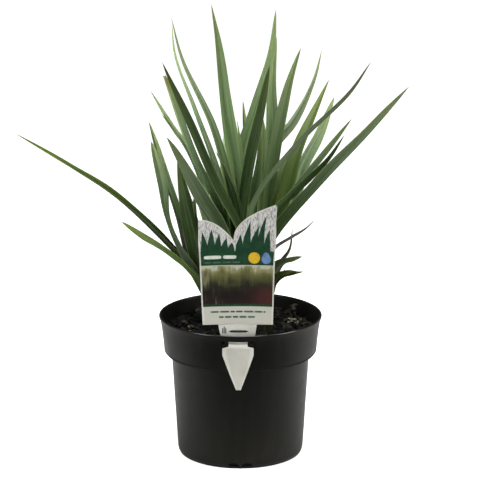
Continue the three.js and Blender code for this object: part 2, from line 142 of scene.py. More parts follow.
class Nodes:
    """Fills one node tree: adds nodes, sets their inputs and joins them."""

    def __init__(self, tree: bpy.types.NodeTree) -> None:
        """Starts on a node tree."""
        self.tree = tree

    def fill(self, node: bpy.types.Node, values: Values) -> None:
        """Sets inputs of a node.

        Args:
            node: The node.
            values: Signals, numbers or colours, by the input's name or number.
        """
        for name, value in values.items():
            if isinstance(value, Signal):
                self.tree.links.new(value.socket, node.inputs[name])
            else:
                node.inputs[name].default_value = value

    def add(self, kind: str, values: Values | None = None, **settings: object) -> bpy.types.Node:
        """Adds a node.

        Args:
            kind: The node's type, without "ShaderNode".
            values: What goes into its inputs.
            settings: Properties of the node.

        Returns:
            The new node.
        """
        node = self.tree.nodes.new("ShaderNode" + kind)
        for name, value in settings.items():
            setattr(node, name, value)
        self.fill(node, values or {})
        return node

    def take(self, node: bpy.types.Node, output: str | int = 0) -> Signal:
        """Returns one output of a node."""
        return Signal(self, node.outputs[output])

    def math(self, operation: str, a: object, b: object = 0.0) -> Signal:
        """Returns the result of a Math node on one or two values."""
        return self.take(self.add("Math", {0: a, 1: b}, operation=operation))

    def mix(self, factor: object, a: object, b: object) -> Signal:
        """Returns the colour that is a share of the way from a to b."""
        return self.take(self.add("Mix", {0: factor, 6: a, 7: b}, data_type="RGBA"), 2)

    def ramp(self, factor: Signal, stops: Sequence[tuple[float, Colour]]) -> Signal:
        """Adds a colour ramp.

        Args:
            factor: Where on the ramp to read.
            stops: Places from 0 to 1 with their colours.

        Returns:
            The colour output.
        """
        node = self.add("ValToRGB", {"Fac": factor})
        elements = node.color_ramp.elements
        while len(elements) < len(stops):
            elements.new(0.5)
        for element, (place, colour) in zip(elements, stops):
            element.position, element.color = place, colour
        return self.take(node, "Color")

    def split(self, vector: Signal) -> tuple[Signal, ...]:
        """Returns the three parts of a vector."""
        return tuple(Signal(self, part) for part in self.add("SeparateXYZ", {0: vector}).outputs)

    def scaled(self, vector: Signal, factors: Point) -> Signal:
        """Returns a vector with each part multiplied."""
        return self.take(self.add("VectorMath", {0: vector, 1: factors}, operation="MULTIPLY"))

    def noise(self, vector: Signal, scale: object, detail: float = 3.0) -> Signal:
        """Returns a noise value around 0.5."""
        return self.take(self.add("TexNoise", {"Vector": vector, "Scale": scale, "Detail": detail}), "Fac")

    def attribute(self, name: str) -> tuple[Signal, ...]:
        """Returns the three parts of the vector kept on the mesh under a name."""
        return self.split(self.take(self.add("Attribute", attribute_name=name), "Vector"))

    def place(self) -> Signal:
        """Returns the Object coordinates, in metres in the frame."""
        return self.take(self.add("TexCoord"), "Object")

    def group(self, tree: bpy.types.NodeTree, values: Values) -> dict[str, Signal]:
        """Adds a node group with its own values and returns its outputs by name."""
        node = self.add("Group", values, node_tree=tree)
        return {output.name: Signal(self, output) for output in node.outputs}

    def bump(self, height: Signal, strength: float, distance: float) -> Signal:
        """Returns a normal bumped by a height, with a depth in metres."""
        return self.take(self.add("Bump", {"Strength": strength, "Distance": distance, "Height": height}))


class Surface(Nodes):
    """The nodes of one material, round its Principled shader."""

    def __init__(self, name: str) -> None:
        """Starts a material under a name."""
        self.material = bpy.data.materials.new(name)
        self.material.use_nodes = True
        super().__init__(self.material.node_tree)

    def grain(self, vector: Signal, scale: float) -> tuple[Signal, ...]:
        """Returns the fine and the coarse grain of the surface."""
        return tuple(self.group(EFFECTS.grain, {"Vector": vector, "Scale": scale}).values())

    def dusty(self, vector: Signal, colour: Signal, dust: Colour, amount: object) -> tuple[Signal, ...]:
        """Returns a colour with dust on it, and the mask of the dust."""
        values = {"Vector": vector, "Colour": colour, "Dust": dust, "Amount": amount}
        return tuple(self.group(EFFECTS.dust, values).values())

    def finish(self, values: Values) -> bpy.types.Material:
        """Fills the shader's inputs and returns the material."""
        self.fill(self.tree.nodes["Principled BSDF"], values)
        return self.material


class Effect(Nodes):
    """A shader node group in the making, with named inputs and outputs."""

    def __init__(self, name: str, inputs: dict[str, str], outputs: Sequence[str],
                 colours: Sequence[str] = ()) -> None:
        """Starts the group.

        Args:
            name: Name of the group.
            inputs: Socket kinds by name, such as "Float".
            outputs: Names of what it puts out.
            colours: Those outputs that are colours; the others are numbers.
        """
        super().__init__(bpy.data.node_groups.new(name, "ShaderNodeTree"))
        kinds = [(label, "INPUT", kind) for label, kind in inputs.items()]
        kinds += [(label, "OUTPUT", "Color" if label in colours else "Float") for label in outputs]
        for label, side, kind in kinds:
            self.tree.interface.new_socket(label, in_out=side, socket_type="NodeSocket" + kind)
        entry = self.tree.nodes.new("NodeGroupInput")
        self.given = {label: self.take(entry, label) for label in inputs}

    def finish(self, values: Values) -> bpy.types.NodeTree:
        """Fills the group's outputs and returns the group."""
        self.fill(self.tree.nodes.new("NodeGroupOutput"), values)
        return self.tree


class Effects:
    """Shader node groups that several finishes share, each built when it is first wanted."""

    @cached_property
    def grain(self) -> bpy.types.NodeTree:
        """Returns a fine and a coarse grain of one surface, for plastics, bark and ink."""
        effect = Effect("Grain", {"Vector": "Vector", "Scale": "Float"}, ("Fine", "Coarse"))
        place, scale = effect.given.values()
        return effect.finish({
            "Fine": effect.noise(place, scale, 5.0), "Coarse": effect.noise(place, scale * 0.08, 4.0)})

    @cached_property
    def dust(self) -> bpy.types.NodeTree:
        """Returns dust that lies in patches and specks over a colour."""
        effect = Effect("Dust", {"Vector": "Vector", "Colour": "Color", "Dust": "Color", "Amount": "Float"},
                        ("Colour", "Mask"), ("Colour",))
        place, colour, dust, amount = effect.given.values()
        patches = effect.noise(place, 38.0, 6.0).rise(0.45, 0.72)
        specks = effect.noise(place, 900.0, 2.0).rise(0.62, 0.72)
        mask = ((patches + specks) * amount).clamp()
        return effect.finish({"Colour": effect.mix(mask, colour, dust), "Mask": mask})

    @cached_property
    def veins(self) -> bpy.types.NodeTree:
        """Returns lengthwise veins and streaks of a blade from its own across and along values."""
        effect = Effect("Veins", {"Across": "Float", "Along": "Float", "Seed": "Float", "Count": "Float"},
                        ("Lines", "Streaks"))
        across, along, seed, count = effect.given.values()
        drawn_out = effect.take(effect.add("CombineXYZ", {0: across * 2.6, 1: along * 1.7, 2: seed}))
        return effect.finish({
            "Lines": effect.math("SINE", across * count) * 0.5 + 0.5,
            "Streaks": effect.noise(drawn_out, 1.6, 5.0)})


EFFECTS = Effects()


@dataclass(frozen=True)
class PotFinish:
    """Near-black satin moulded plastic: matt inside and on the collar's foot, glossier on the lip, with
    painted light that makes the shaded inside wall lighter.
    """

    name: str = "pot_satin_black"
    colour: Colour = srgb("0b0b0a")
    worn: Colour = srgb("11110f")
    # Painted light: a lighter colour for the inside wall, which lies in shade.
    inner: Colour = srgb("262623")
    dust: Colour = srgb("4a4740")
    sheen: Colour = srgb("fffdf0")
    specular: float = 0.3
    roughness: float = 0.3
    coat_roughness: float = 0.18
    grain_scale: float = 1400.0
    dusty_foot: Span = (0.0, 0.03)
    collar_foot: Span = (0.0885, 0.0893)
    collar_curve: Span = (0.0922, 0.0935)
    inside_foot: Span = (0.1, 0.104)
    inside_edge: Span = (0.0534, 0.0542)
    inside_slope: float = 0.12
    lip: Span = (0.1222, 0.1229)

    def build(self) -> bpy.types.Material:
        """Makes the material.

        Returns:
            The material.
        """
        nodes = Surface(self.name)
        place = nodes.place()
        x, y, height = nodes.split(place)
        fine, coarse = nodes.grain(place, self.grain_scale)
        flow = nodes.noise(nodes.scaled(place, (1.0, 1.0, 0.12)), 130.0)
        leaning = nodes.math("SQRT", x * x + y * y) - height * self.inside_slope
        inside = height.rise(*self.inside_foot) * leaning.fall(*self.inside_edge)
        # Painted light: the shaded inside wall is lifted towards the lighter inner colour.
        colour = nodes.mix(inside, nodes.mix(flow.rise(0.4, 0.75), self.colour, self.worn), self.inner)
        amount = height.fall(*self.dusty_foot) * 0.1 + 0.015
        colour, dust = nodes.dusty(place, colour, self.dust, amount)
        matt = height.rise(*self.collar_foot) * height.fall(*self.collar_curve) * 0.4 + inside * 0.35
        return nodes.finish({
            "Base Color": colour,
            "Roughness": coarse * 0.16 + matt + dust * 0.4 + self.roughness,
            "Specular IOR Level": self.specular,
            "Specular Tint": self.sheen,
            "Coat Weight": height.rise(*self.lip),
            "Coat Roughness": self.coat_roughness,
            "Normal": nodes.bump(fine, 0.22, 0.00012)})


@dataclass(frozen=True)
class BarkFinish:
    """Composted bark: every chip has its own tone, darker in the low spots of its fine grain, and rough all
    over.
    """

    name: str = "bark_mix"
    tones: tuple[tuple[float, Colour], ...] = (
        (0.0, srgb("030403")), (0.3, srgb("0a0d0a")), (0.5, srgb("171a14")), (0.62, srgb("252820")),
        (0.74, srgb("3f3f34")), (0.82, srgb("50463a")), (0.9, srgb("9c9576")), (1.0, srgb("ece7c6")))
    hollow_dark: Colour = srgb("080706")
    dust: Colour = srgb("55564a")
    specular: float = 0.34
    roughness: float = 0.42
    grain_scale: float = 900.0

    def build(self) -> bpy.types.Material:
        """Makes the material.

        Returns:
            The material.
        """
        nodes = Surface(self.name)
        place = nodes.place()
        own = nodes.ramp(nodes.attribute("chip")[0], self.tones)
        fine, coarse = nodes.grain(nodes.scaled(place, (1.0, 1.0, 1.6)), self.grain_scale)
        # Darker where the fine grain's bump is low.
        colour = nodes.mix(fine.rise(0.3, 0.7), nodes.mix(0.55, own, self.hollow_dark), own)
        return nodes.finish({
            "Base Color": nodes.dusty(place, colour, self.dust, 0.06)[0],
            "Roughness": coarse * 0.3 + self.roughness,
            "Specular IOR Level": self.specular,
            "Normal": nodes.bump(fine, 0.7, 0.0009)})


@dataclass(frozen=True)
class LeafFinish:
    """Glaucous strap leaf: lengthwise veins, bloom, pale margins, a warm tip and a pale base, with painted
    light and shade on each wing and a painted darker under side.
    """

    name: str
    dark: Colour = srgb("466237")
    body: Colour = srgb("6e9058")
    bloom: Colour = srgb("9aac8a")
    warm: Colour = srgb("93a850")
    margin: Colour = srgb("b3c47e")
    plum: Colour = srgb("6c6a66")
    base: Colour = srgb("a7b083")
    dry: Colour = srgb("8f7a4c")
    specular: float = 0.22
    roughness: float = 0.36
    veins: float = 44.0

    def build(self) -> bpy.types.Material:
        """Makes the material.

        Returns:
            The material.
        """
        nodes = Surface(self.name)
        across, along, under = nodes.attribute("blade")
        # The tint vector's first part is the painted light and shade of the wing, set leaf by leaf.
        painted_light, warmth, bloom = nodes.attribute("tint")
        plum, seed, torn = nodes.attribute("extra")
        lines, streaks = nodes.group(
            EFFECTS.veins, {"Across": across, "Along": along, "Seed": seed, "Count": self.veins}).values()
        edge, outer_side = nodes.math("ABSOLUTE", across), under.rise(0.05, 0.2)
        grown = (streaks.rise(0.42, 0.7) * 0.7 + 0.4) * (along.rise(0.3, 0.95) * 0.9 + 0.55)
        cover = grown * (outer_side * -0.2 + 1.0) * bloom + along.rise(0.6, 1.0) * 0.45
        yellow = warmth * (edge.rise(0.62, 1.0) * 0.45 + 0.75) + along.rise(0.72, 1.0) * 0.5
        colour = nodes.mix(streaks.rise(0.3, 0.62), self.dark, self.body)
        for share, tint in (
                (cover.clamp(), self.bloom), (yellow.clamp(), self.warm), (lines * 0.16, self.bloom),
                (edge.rise(0.9, 0.985) * 0.55, self.margin), (edge.fall(0.015, 0.09) * 0.4, self.dark),
                (plum, self.plum), (along.fall(0.02, 0.2) * 0.7, self.base),
                ((along.rise(0.975, 1.0) + torn).clamp() * 0.8, self.dry)):
            colour = nodes.mix(share, colour, tint)
        # Painted light and shade: the value follows each wing's painted light, and the under side is painted
        # darker and more saturated.
        shaded = nodes.add("HueSaturation", {
            "Saturation": (1.0 - painted_light).clamp() * 0.35 + (outer_side * 0.12 + 1.0),
            "Value": painted_light * (outer_side * -0.64 + 1.0), "Color": colour})
        return nodes.finish({
            "Base Color": nodes.take(shaded),
            "Roughness": streaks * 0.2 + self.roughness,
            "Specular IOR Level": self.specular,
            "Normal": nodes.bump(streaks * 0.6 + lines * 0.5, 0.35, 0.0003)})


@dataclass(frozen=True)
class CardFinish:
    """White tag plastic, slightly glossy, with faint handling marks, painted shade in the stake's sunk panel
    and painted shade over the card's face.
    """

    name: str = "tag_white"
    colour: Colour = srgb("d9d8cf")
    shade: Colour = srgb("c9c7bc")
    # Painted shade for the stake's sunk panel.
    panel: Colour = srgb("b3b1a4")
    # Painted shade over the card's face inside its border.
    painted_card_shade: Colour = srgb("c2c2b6")
    dust: Colour = srgb("8f8b7e")
    roughness: float = 0.3
    grain_scale: float = 700.0

    def build(self) -> bpy.types.Material:
        """Makes the material.

        Returns:
            The material.
        """
        nodes = Surface(self.name)
        place = nodes.place()
        fine, coarse = nodes.grain(place, self.grain_scale)
        inside, card_face, _ = nodes.attribute("sheet")
        colour = nodes.mix(coarse.rise(0.4, 0.7), self.colour, self.shade)
        # Painted shade: darker in the sunk panel and over the card's face.
        colour = nodes.mix(card_face, nodes.mix(inside * 0.4, colour, self.panel), self.painted_card_shade)
        return nodes.finish({
            "Base Color": nodes.dusty(place, colour, self.dust, 0.08)[0],
            "Roughness": coarse * 0.2 + self.roughness,
            "Normal": nodes.bump(fine, 0.1, 0.0001)})


@dataclass(frozen=True)
class InkFinish:
    """One printed ink: a colour that wanders a little, under a thin clear film."""

    name: str
    colour: Colour
    second: Colour
    stretch: Point = (1.0, 1.0, 1.0)
    scale: float = 300.0
    contrast: Span = (0.35, 0.7)
    roughness: float = 0.3

    def build(self) -> bpy.types.Material:
        """Makes the material.

        Returns:
            The material.
        """
        nodes = Surface(self.name)
        fine, coarse = nodes.grain(nodes.scaled(nodes.place(), self.stretch), self.scale)
        return nodes.finish({
            "Base Color": nodes.mix(fine.rise(*self.contrast), self.colour, self.second),
            "Roughness": coarse * 0.15 + self.roughness})


@dataclass(frozen=True)
class GardenFinish:
    """The picture field of the tag: a plain planted bed, hedge over dark soil, with upright strokes."""

    name: str = "print_garden_bed"
    levels: tuple[tuple[float, Colour], ...] = (
        (0.0, srgb("2a1a17")), (0.25, srgb("1f1714")), (0.45, srgb("2a2a1a")), (0.62, srgb("4c4d28")),
        (0.8, srgb("66663a")), (0.93, srgb("8d8c62")), (1.0, srgb("b9bba4")))
    earth: Colour = srgb("4d2420")
    pale: Colour = srgb("8a8a70")
    roughness: float = 0.3
    grain_scale: float = 500.0

    def build(self) -> bpy.types.Material:
        """Makes the material.

        Returns:
            The material.
        """
        nodes = Surface(self.name)
        place = nodes.place()
        u, v, _ = nodes.attribute("patch")
        strokes = nodes.noise(nodes.scaled(place, (1.0, 1.0, 0.16)), 420.0, 4.0)
        blotches = nodes.noise(place, 95.0, 4.0)
        field = nodes.ramp(v + (blotches - 0.5) * 0.55 + (strokes - 0.5) * 0.35, self.levels)
        field = nodes.mix(u.rise(0.55, 0.95) * v.fall(0.25, 0.6) * 0.85, field, self.earth)
        field = nodes.mix(strokes.rise(0.52, 0.72) * u.fall(0.05, 0.45) * 0.5, field, self.pale)
        coarse = nodes.grain(place, self.grain_scale)[1]
        return nodes.finish({"Base Color": field, "Roughness": coarse * 0.15 + self.roughness})


def new_object(name: str, data: bpy.types.ID) -> bpy.types.Object:
    """Returns a new object of the scene.

    Args:
        name: Its name.
        data: The mesh, light or camera that it shows.

    Returns:
        The object.
    """
    thing = bpy.data.objects.new(name, data)
    bpy.context.scene.collection.objects.link(thing)
    return thing


def mesh_object(name: str, mesh: bmesh.types.BMesh) -> bpy.types.Object:
    """Turns a mesh in the making into an object of the scene.

    Args:
        name: Its name.
        mesh: The mesh, which ends here.

    Returns:
        The object.
    """
    data = bpy.data.meshes.new(name)
    mesh.to_mesh(data)
    mesh.free()
    return new_object(name, data)


def soften(mesh: bmesh.types.BMesh, sharp: float) -> None:
    """Shades a mesh smooth except at its sharp edges.

    Args:
        mesh: The mesh.
        sharp: Angle in degrees above which an edge stays crisp.
    """
    for face in mesh.faces:
        face.smooth = True
    for edge in mesh.edges:
        edge.smooth = edge.calc_face_angle(0.0) <= math.radians(sharp)


@dataclass
class Model:
    """A mesh in the making, in millimetres, that becomes one piece in metres."""

    name: str
    slot: Slot
    vectors: tuple[str, ...] = ()

    def __post_init__(self) -> None:
        """Opens the mesh and its named vectors."""
        self.mesh = bmesh.new()
        self.layers = {label: self.mesh.verts.layers.float_vector.new(label) for label in self.vectors}

    def mark(self, vert: bmesh.types.BMVert, *values: Point) -> None:
        """Keeps the named vectors of one vertex, in their order."""
        for layer, value in zip(self.layers.values(), values):
            vert[layer] = Vector(value)

    def grid(self, columns: int, rows: int) -> list[bmesh.types.BMVert]:
        """Returns the vertices of a new flat grid, one unit wide and high round the origin."""
        return bmesh.ops.create_grid(self.mesh, x_segments=columns, y_segments=rows, size=0.5)["verts"]

    def finish(self, materials: Sequence[bpy.types.Material], nodes: Sequence[str] = (),
               sharp: float = 35.0) -> bpy.types.Object:
        """Closes the mesh, dresses it and lets it ride.

        Args:
            materials: Finishes, in the order of the faces' material numbers.
            nodes: CAD nodes that the piece stands for.
            sharp: Angle in degrees above which an edge stays crisp.

        Returns:
            The finished piece.
        """
        bmesh.ops.scale(self.mesh, vec=(MM, MM, MM), verts=self.mesh.verts)
        soften(self.mesh, sharp)
        piece = mesh_object(self.name, self.mesh)
        for material in materials:
            piece.data.materials.append(material)
        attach(piece, "root")
        if nodes:
            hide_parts(*nodes)
        LOG.info("%s: %d triangles", self.name, sum(len(face.vertices) - 2 for face in piece.data.polygons))
        return piece

    def turned(self, profile: Sequence[Span], steps: int,
               centre: Span = (0.0, 0.0)) -> list[bmesh.types.BMVert]:
        """Spins a profile round an upright axis into a closed body.

        Args:
            profile: Radius and height of each point, from axis to axis.
            steps: Number of sides.
            centre: Where the axis stands.

        Returns:
            The body's vertices.
        """
        old = set(self.mesh.verts)
        line = [self.mesh.verts.new((centre[0] + r, centre[1], z)) for r, z in profile]
        edges = [self.mesh.edges.new(pair) for pair in zip(line, line[1:])]
        bmesh.ops.spin(self.mesh, geom=line + edges, cent=(centre[0], centre[1], 0.0), axis=(0, 0, 1),
                       angle=math.tau, steps=steps, use_merge=True)
        new = [v for v in self.mesh.verts if v not in old]
        bmesh.ops.remove_doubles(self.mesh, verts=new, dist=0.001)
        new = [v for v in self.mesh.verts if v not in old]
        faces = list({face for v in new for face in v.link_faces})
        bmesh.ops.recalc_face_normals(self.mesh, faces=faces)
        return new


@dataclass
class NurseryPot:
    """Round nursery pot: tapered body, collar with a rolled lip, tag slot, drain arches and wall."""

    height: float = 123.8
    steps: int = 128
    wall: float = 1.4
    foot_radius: float = 50.8
    body_foot: Span = (54.3, 4.0)
    body_top: float = 59.5
    collar_z: float = 89.0
    collar_radius: float = 65.9
    lip_radius: float = 70.4
    lip_bevel: float = 0.35
    bevelled_above: float = 18.0
    crisp_above: float = 32.0
    slot_box: Box = (-15.8, 11.8, 114.3, 118.2)
    slot_depth: float = 16.0
    arch_radius: float = 5.0
    arch_spacing: float = 11.6
    arch_z: float = 1.4
    arch_depth: float = 8.0
    arch_pairs: int = 4
    ridge_radius: float = 68.35
    ridge_z: float = 119.75
    ridge_thickness: float = 1.1
    ridge_height: float = 1.5
    ridge_angle: float = 0.28
    ridge_offset: float = -1.0
    ridge_rough: float = 0.12
    ridge_seed: int = 7

    def profile(self) -> list[Span]:
        """Returns the wall's profile from the axis underneath, up the outside and down the inside."""
        foot, c, z = self.foot_radius, self.collar_radius, self.collar_z
        lip, top = self.lip_radius, self.height
        return [
            (0.0, 0.9), (foot - 6.0, 0.9), (foot - 5.2, 0.0), (foot, 0.0), (foot + 1.9, 0.9), self.body_foot,
            (self.body_top, z), (c - 1.6, z + 1.2), (c, z + 3.2), (c + 0.7, z + 12.0), (c + 2.0, z + 23.0),
            (lip - 1.5, top - 5.5), (lip - 0.7, top - 3.0), (lip - 0.1, top - 1.6), (lip, top - 0.9),
            (lip - 0.5, top - 0.1), (lip - 1.1, top), (lip - 1.8, top - 0.4), (lip - 2.6, top - 2.6),
            (c + 2.0 - self.wall, z + 23.0), (c + 0.7 - self.wall, z + 12.0), (c - self.wall, z + 3.8),
            (c - 2.5, z + 2.7), (self.body_top - 1.3, z + 1.6), (self.body_foot[0] - 1.3, 4.6),
            (foot - 0.6, 1.8), (0.0, 1.8)]

    def cutters(self) -> bpy.types.Object:
        """Returns one object, in metres, that holds the slot and all drain arches."""
        tool = bmesh.new()
        left, right, bottom, top = self.slot_box
        bmesh.ops.create_cube(tool, size=1.0, matrix=Matrix.LocRotScale(
            Vector(((left + right) / 2, -self.collar_radius, (bottom + top) / 2)), None,
            Vector((right - left, self.slot_depth, top - bottom))))
        for pair in range(self.arch_pairs):
            for side in (-0.5, 0.5):
                turn = Matrix.Rotation(math.tau * pair / self.arch_pairs, 4, "Z")
                stand = Matrix.Translation((side * self.arch_spacing, -self.body_foot[0], self.arch_z))
                bmesh.ops.create_cone(
                    tool, cap_ends=True, segments=32, radius1=self.arch_radius, radius2=self.arch_radius,
                    depth=self.arch_depth, matrix=turn @ stand @ Matrix.Rotation(math.pi / 2, 4, "X"))
        bmesh.ops.scale(tool, vec=(MM, MM, MM), verts=tool.verts)
        return mesh_object("cutters", tool)

    def build(self, material: bpy.types.Material) -> None:
        """Makes the pot with its slot and arches cut, and the moulded ridge over the slot.

        Args:
            material: The pot's finish.
        """
        shell = Model("pot_shell", Slot.POT)
        shell.turned(self.profile(), self.steps)
        rings = [e for e in shell.mesh.edges if abs(e.verts[0].co.z - e.verts[1].co.z) < 0.01]
        rounded = [e for e in rings if e.calc_face_angle(0.0) > math.radians(self.bevelled_above)]
        bmesh.ops.bevel(shell.mesh, geom=rounded, affect="EDGES", offset=self.lip_bevel, segments=3,
                        profile=0.5, material=-1, clamp_overlap=True)
        piece = shell.finish([material], ["pot"])
        cutter = self.cutters()
        cut = piece.modifiers.new("cut", "BOOLEAN")
        cut.operation, cut.solver, cut.object = "DIFFERENCE", "EXACT", cutter
        graph = bpy.context.evaluated_depsgraph_get()
        result = bpy.data.meshes.new_from_object(piece.evaluated_get(graph))
        piece.modifiers.clear()
        piece.data = result
        bpy.data.objects.remove(cutter)
        mesh = bmesh.new()
        mesh.from_mesh(result)
        soften(mesh, self.crisp_above)
        mesh.to_mesh(result)
        mesh.free()
        self.build_ridge(material)

    def build_ridge(self, material: bpy.types.Material) -> None:
        """Makes the rough moulded ridge above the slot.

        Args:
            material: The pot's finish.
        """
        ridge = Model("slot_ridge", Slot.POT)
        bmesh.ops.create_cube(ridge.mesh, size=1.0)
        bmesh.ops.subdivide_edges(ridge.mesh, edges=ridge.mesh.edges, cuts=15, use_grid_fill=True)
        rng = random.Random(self.ridge_seed)
        for vert in ridge.mesh.verts:
            angle = -math.pi / 2 + vert.co.x * self.ridge_angle
            rough = rng.uniform(-self.ridge_rough, self.ridge_rough) if abs(vert.co.x) < 0.49 else 0.0
            radius = self.ridge_radius + vert.co.y * self.ridge_thickness + rough
            z = self.ridge_z + vert.co.z * self.ridge_height + rough
            vert.co = (radius * math.cos(angle) + self.ridge_offset, radius * math.sin(angle), z)
        ridge.finish([material])


@dataclass
class PottingMix:
    """Composted bark in the pot: a lumpy bed with seeded chips, crumbs, twigs, pale shreds and heaps."""

    top: float = 112.0
    edge: float = 65.8
    steps: int = 96
    rings: int = 34
    sunk: float = 0.4
    sag: float = 2.0
    chips: int = 760
    chip_length: Span = (3.5, 9.0)
    crumbs: int = 420
    crumb_length: Span = (0.8, 2.0)
    twigs: int = 46
    twig_length: Span = (7.0, 17.0)
    twig_tone: Span = (0.35, 0.88)
    wall_gap: float = 0.6
    scatter: float = 1.4
    level_height: float = 2.2
    seed: int = 41
    bed_tone: float = 0.16

    SIDE: ClassVar[tuple[Span, ...]] = (
        (0.0, 2.2), (49.6, 2.2), (52.2, 5.2), (57.4, 91.0), (62.5, 92.2), (63.6, 93.3), (64.3, 102.0))
    PALE_BITS: ClassVar[tuple[Box, ...]] = (
        (-48.0, 8.0, 0.88, 6.0), (-43.5, -5.0, 0.91, 5.0), (-37.0, 50.0, 0.92, 8.0), (-33.0, 49.0, 0.9, 6.0),
        (42.5, 23.0, 1.0, 4.0), (47.6, 17.0, 0.97, 4.5), (50.0, 7.6, 0.95, 4.0), (44.0, 10.7, 0.99, 4.0),
        (52.8, 17.0, 0.93, 4.0), (39.7, 13.8, 0.9, 4.0), (30.0, 55.0, 0.82, 5.0), (36.0, 58.0, 0.9, 4.0),
        (56.0, 3.0, 0.84, 5.0), (37.0, -8.0, 0.8, 5.0), (-30.0, -30.0, 0.8, 4.0))
    HEAPS: ClassVar[tuple[tuple[float, float, float, float, int], ...]] = (
        (46.5, 38.0, 0.84, 9.0, 4), (42.0, 34.0, 0.72, 8.0, 2), (33.0, 49.0, 0.84, 7.0, 2),
        (31.0, 27.0, 0.82, 6.0, 1), (36.5, 3.0, 0.84, 5.0, 1), (50.0, 30.0, 0.7, 7.0, 1),
        (55.0, 18.0, 0.8, 7.0, 1), (59.0, 11.0, 0.84, 7.0, 1), (60.0, 2.0, 0.8, 6.0, 1))

    def __post_init__(self) -> None:
        """Opens the mesh of what lies on the bed, and its seeded source of chance."""
        self.rng, self.litter = random.Random(self.seed), Model("bark_litter", Slot.MIX, ("chip",))

    def height_at(self, x: float, y: float) -> float:
        """Returns the bed's height at a place.

        Args:
            x: Place across.
            y: Place front to back.

        Returns:
            Height in millimetres.
        """
        radius = math.hypot(x, y)
        coarse = math.sin(0.21 * x + 1.3) * math.cos(0.24 * y - 0.4)
        fine = math.sin(0.47 * x - 0.36 * y) * math.sin(0.39 * y + 0.52 * x + 2.1)
        fade = min(1.0, max(0.0, (self.edge - radius) / 6))
        return self.top - self.sag * (radius / self.edge) ** 2 + fade * 0.75 * (coarse + fine)

    def build(self, material: bpy.types.Material) -> None:
        """Makes the bed and what lies on it.

        Args:
            material: The bark finish.
        """
        bed = Model("mix_bed", Slot.MIX, ("chip",))
        crown = [(self.edge * ring / self.rings, self.top) for ring in range(self.rings, -1, -1)]
        for vert in bed.turned((*self.SIDE, *crown), self.steps):
            if vert.co.z > self.top - 1:
                x, y = vert.co.xy
                vert.co.z = self.height_at(x, y) - self.sunk
                if math.hypot(x, y) < self.edge - 1:
                    vert.co.z += noise.noise(Vector((x, y, 3.0)) * 0.55) * 0.9
            bed.mark(vert, (self.bed_tone + 0.14 * noise.noise(vert.co * 0.35), 0, 0))
        bed.finish([material], ["potting_mix"])
        self.build_litter(material)

    def build_litter(self, material: bpy.types.Material) -> None:
        """Makes the loose bark, crumbs, twigs, pale shreds and heaped pieces.

        Args:
            material: The bark finish.
        """
        rng = self.rng
        for _ in range(self.chips):
            size = rng.uniform(*self.chip_length) * rng.choice((0.8, 1.0, 1.25))
            where = self.spot(size)
            self.chip(where, size, rng.random() ** 1.8 * (0.62 + 0.24 * where[0] / self.edge))
        for _ in range(self.crumbs):
            size = rng.uniform(*self.crumb_length)
            self.chip(self.spot(size), size, rng.random() ** 2 * 0.95)
        for _ in range(self.twigs):
            length = rng.uniform(*self.twig_length)
            self.twig(self.spot(length), length, rng.uniform(*self.twig_tone))
        for x, y, tone, size in self.PALE_BITS:
            for _ in range(5):
                where = (x + rng.gauss(0, self.scatter), y + rng.gauss(0, self.scatter))
                self.chip(where, size * rng.uniform(0.5, 1.1), tone * rng.uniform(0.9, 1.0), 1.6)
        for x, y, tone, size, levels in self.HEAPS:
            for step in range(2 * levels):
                where = (x + rng.gauss(0, 1.2), y + rng.gauss(0, 1.2))
                self.chip(where, size, tone * rng.uniform(0.85, 1.0), self.level_height * (step // 2) + 0.8)
        self.litter.finish([material])

    def spot(self, size: float) -> Span:
        """Returns a place on the bed where something of a size stays clear of the wall."""
        radius = math.sqrt(self.rng.random()) * (self.edge - self.wall_gap - size / 2)
        angle = self.rng.random() * math.tau
        return (radius * math.cos(angle), radius * math.sin(angle))

    def chip(self, where: Span, size: float, tone: float, lift: float = 0.0) -> None:
        """Adds one angular piece of bark.

        Args:
            where: Its place on the bed.
            size: Its length.
            tone: Its place on the bark's range of tones.
            lift: How far it is raised over the others.
        """
        rng = self.rng
        tilt = rng.uniform(-0.8, 0.8)
        turn = (Matrix.Rotation(rng.random() * math.tau, 4, "Z") @ Matrix.Rotation(tilt, 4, "X")
                @ Matrix.Rotation(rng.uniform(-0.4, 0.4), 4, "Y"))
        flat = Vector((size, size * rng.uniform(0.35, 0.75), size * rng.uniform(0.2, 0.48)))
        z = self.height_at(*where) + lift + rng.uniform(-0.1, 0.9) + flat.z * 0.3
        matrix = Matrix.Translation((*where, z)) @ turn @ Matrix.Diagonal((*flat, 1.0))
        mesh = self.litter.mesh
        for vert in bmesh.ops.create_icosphere(mesh, subdivisions=1, radius=0.5, matrix=matrix)["verts"]:
            vert.co += Vector((rng.gauss(0, 1), rng.gauss(0, 1), rng.gauss(0, 0.5))) * size * 0.06
            self.litter.mark(vert, (tone, 0, 0))

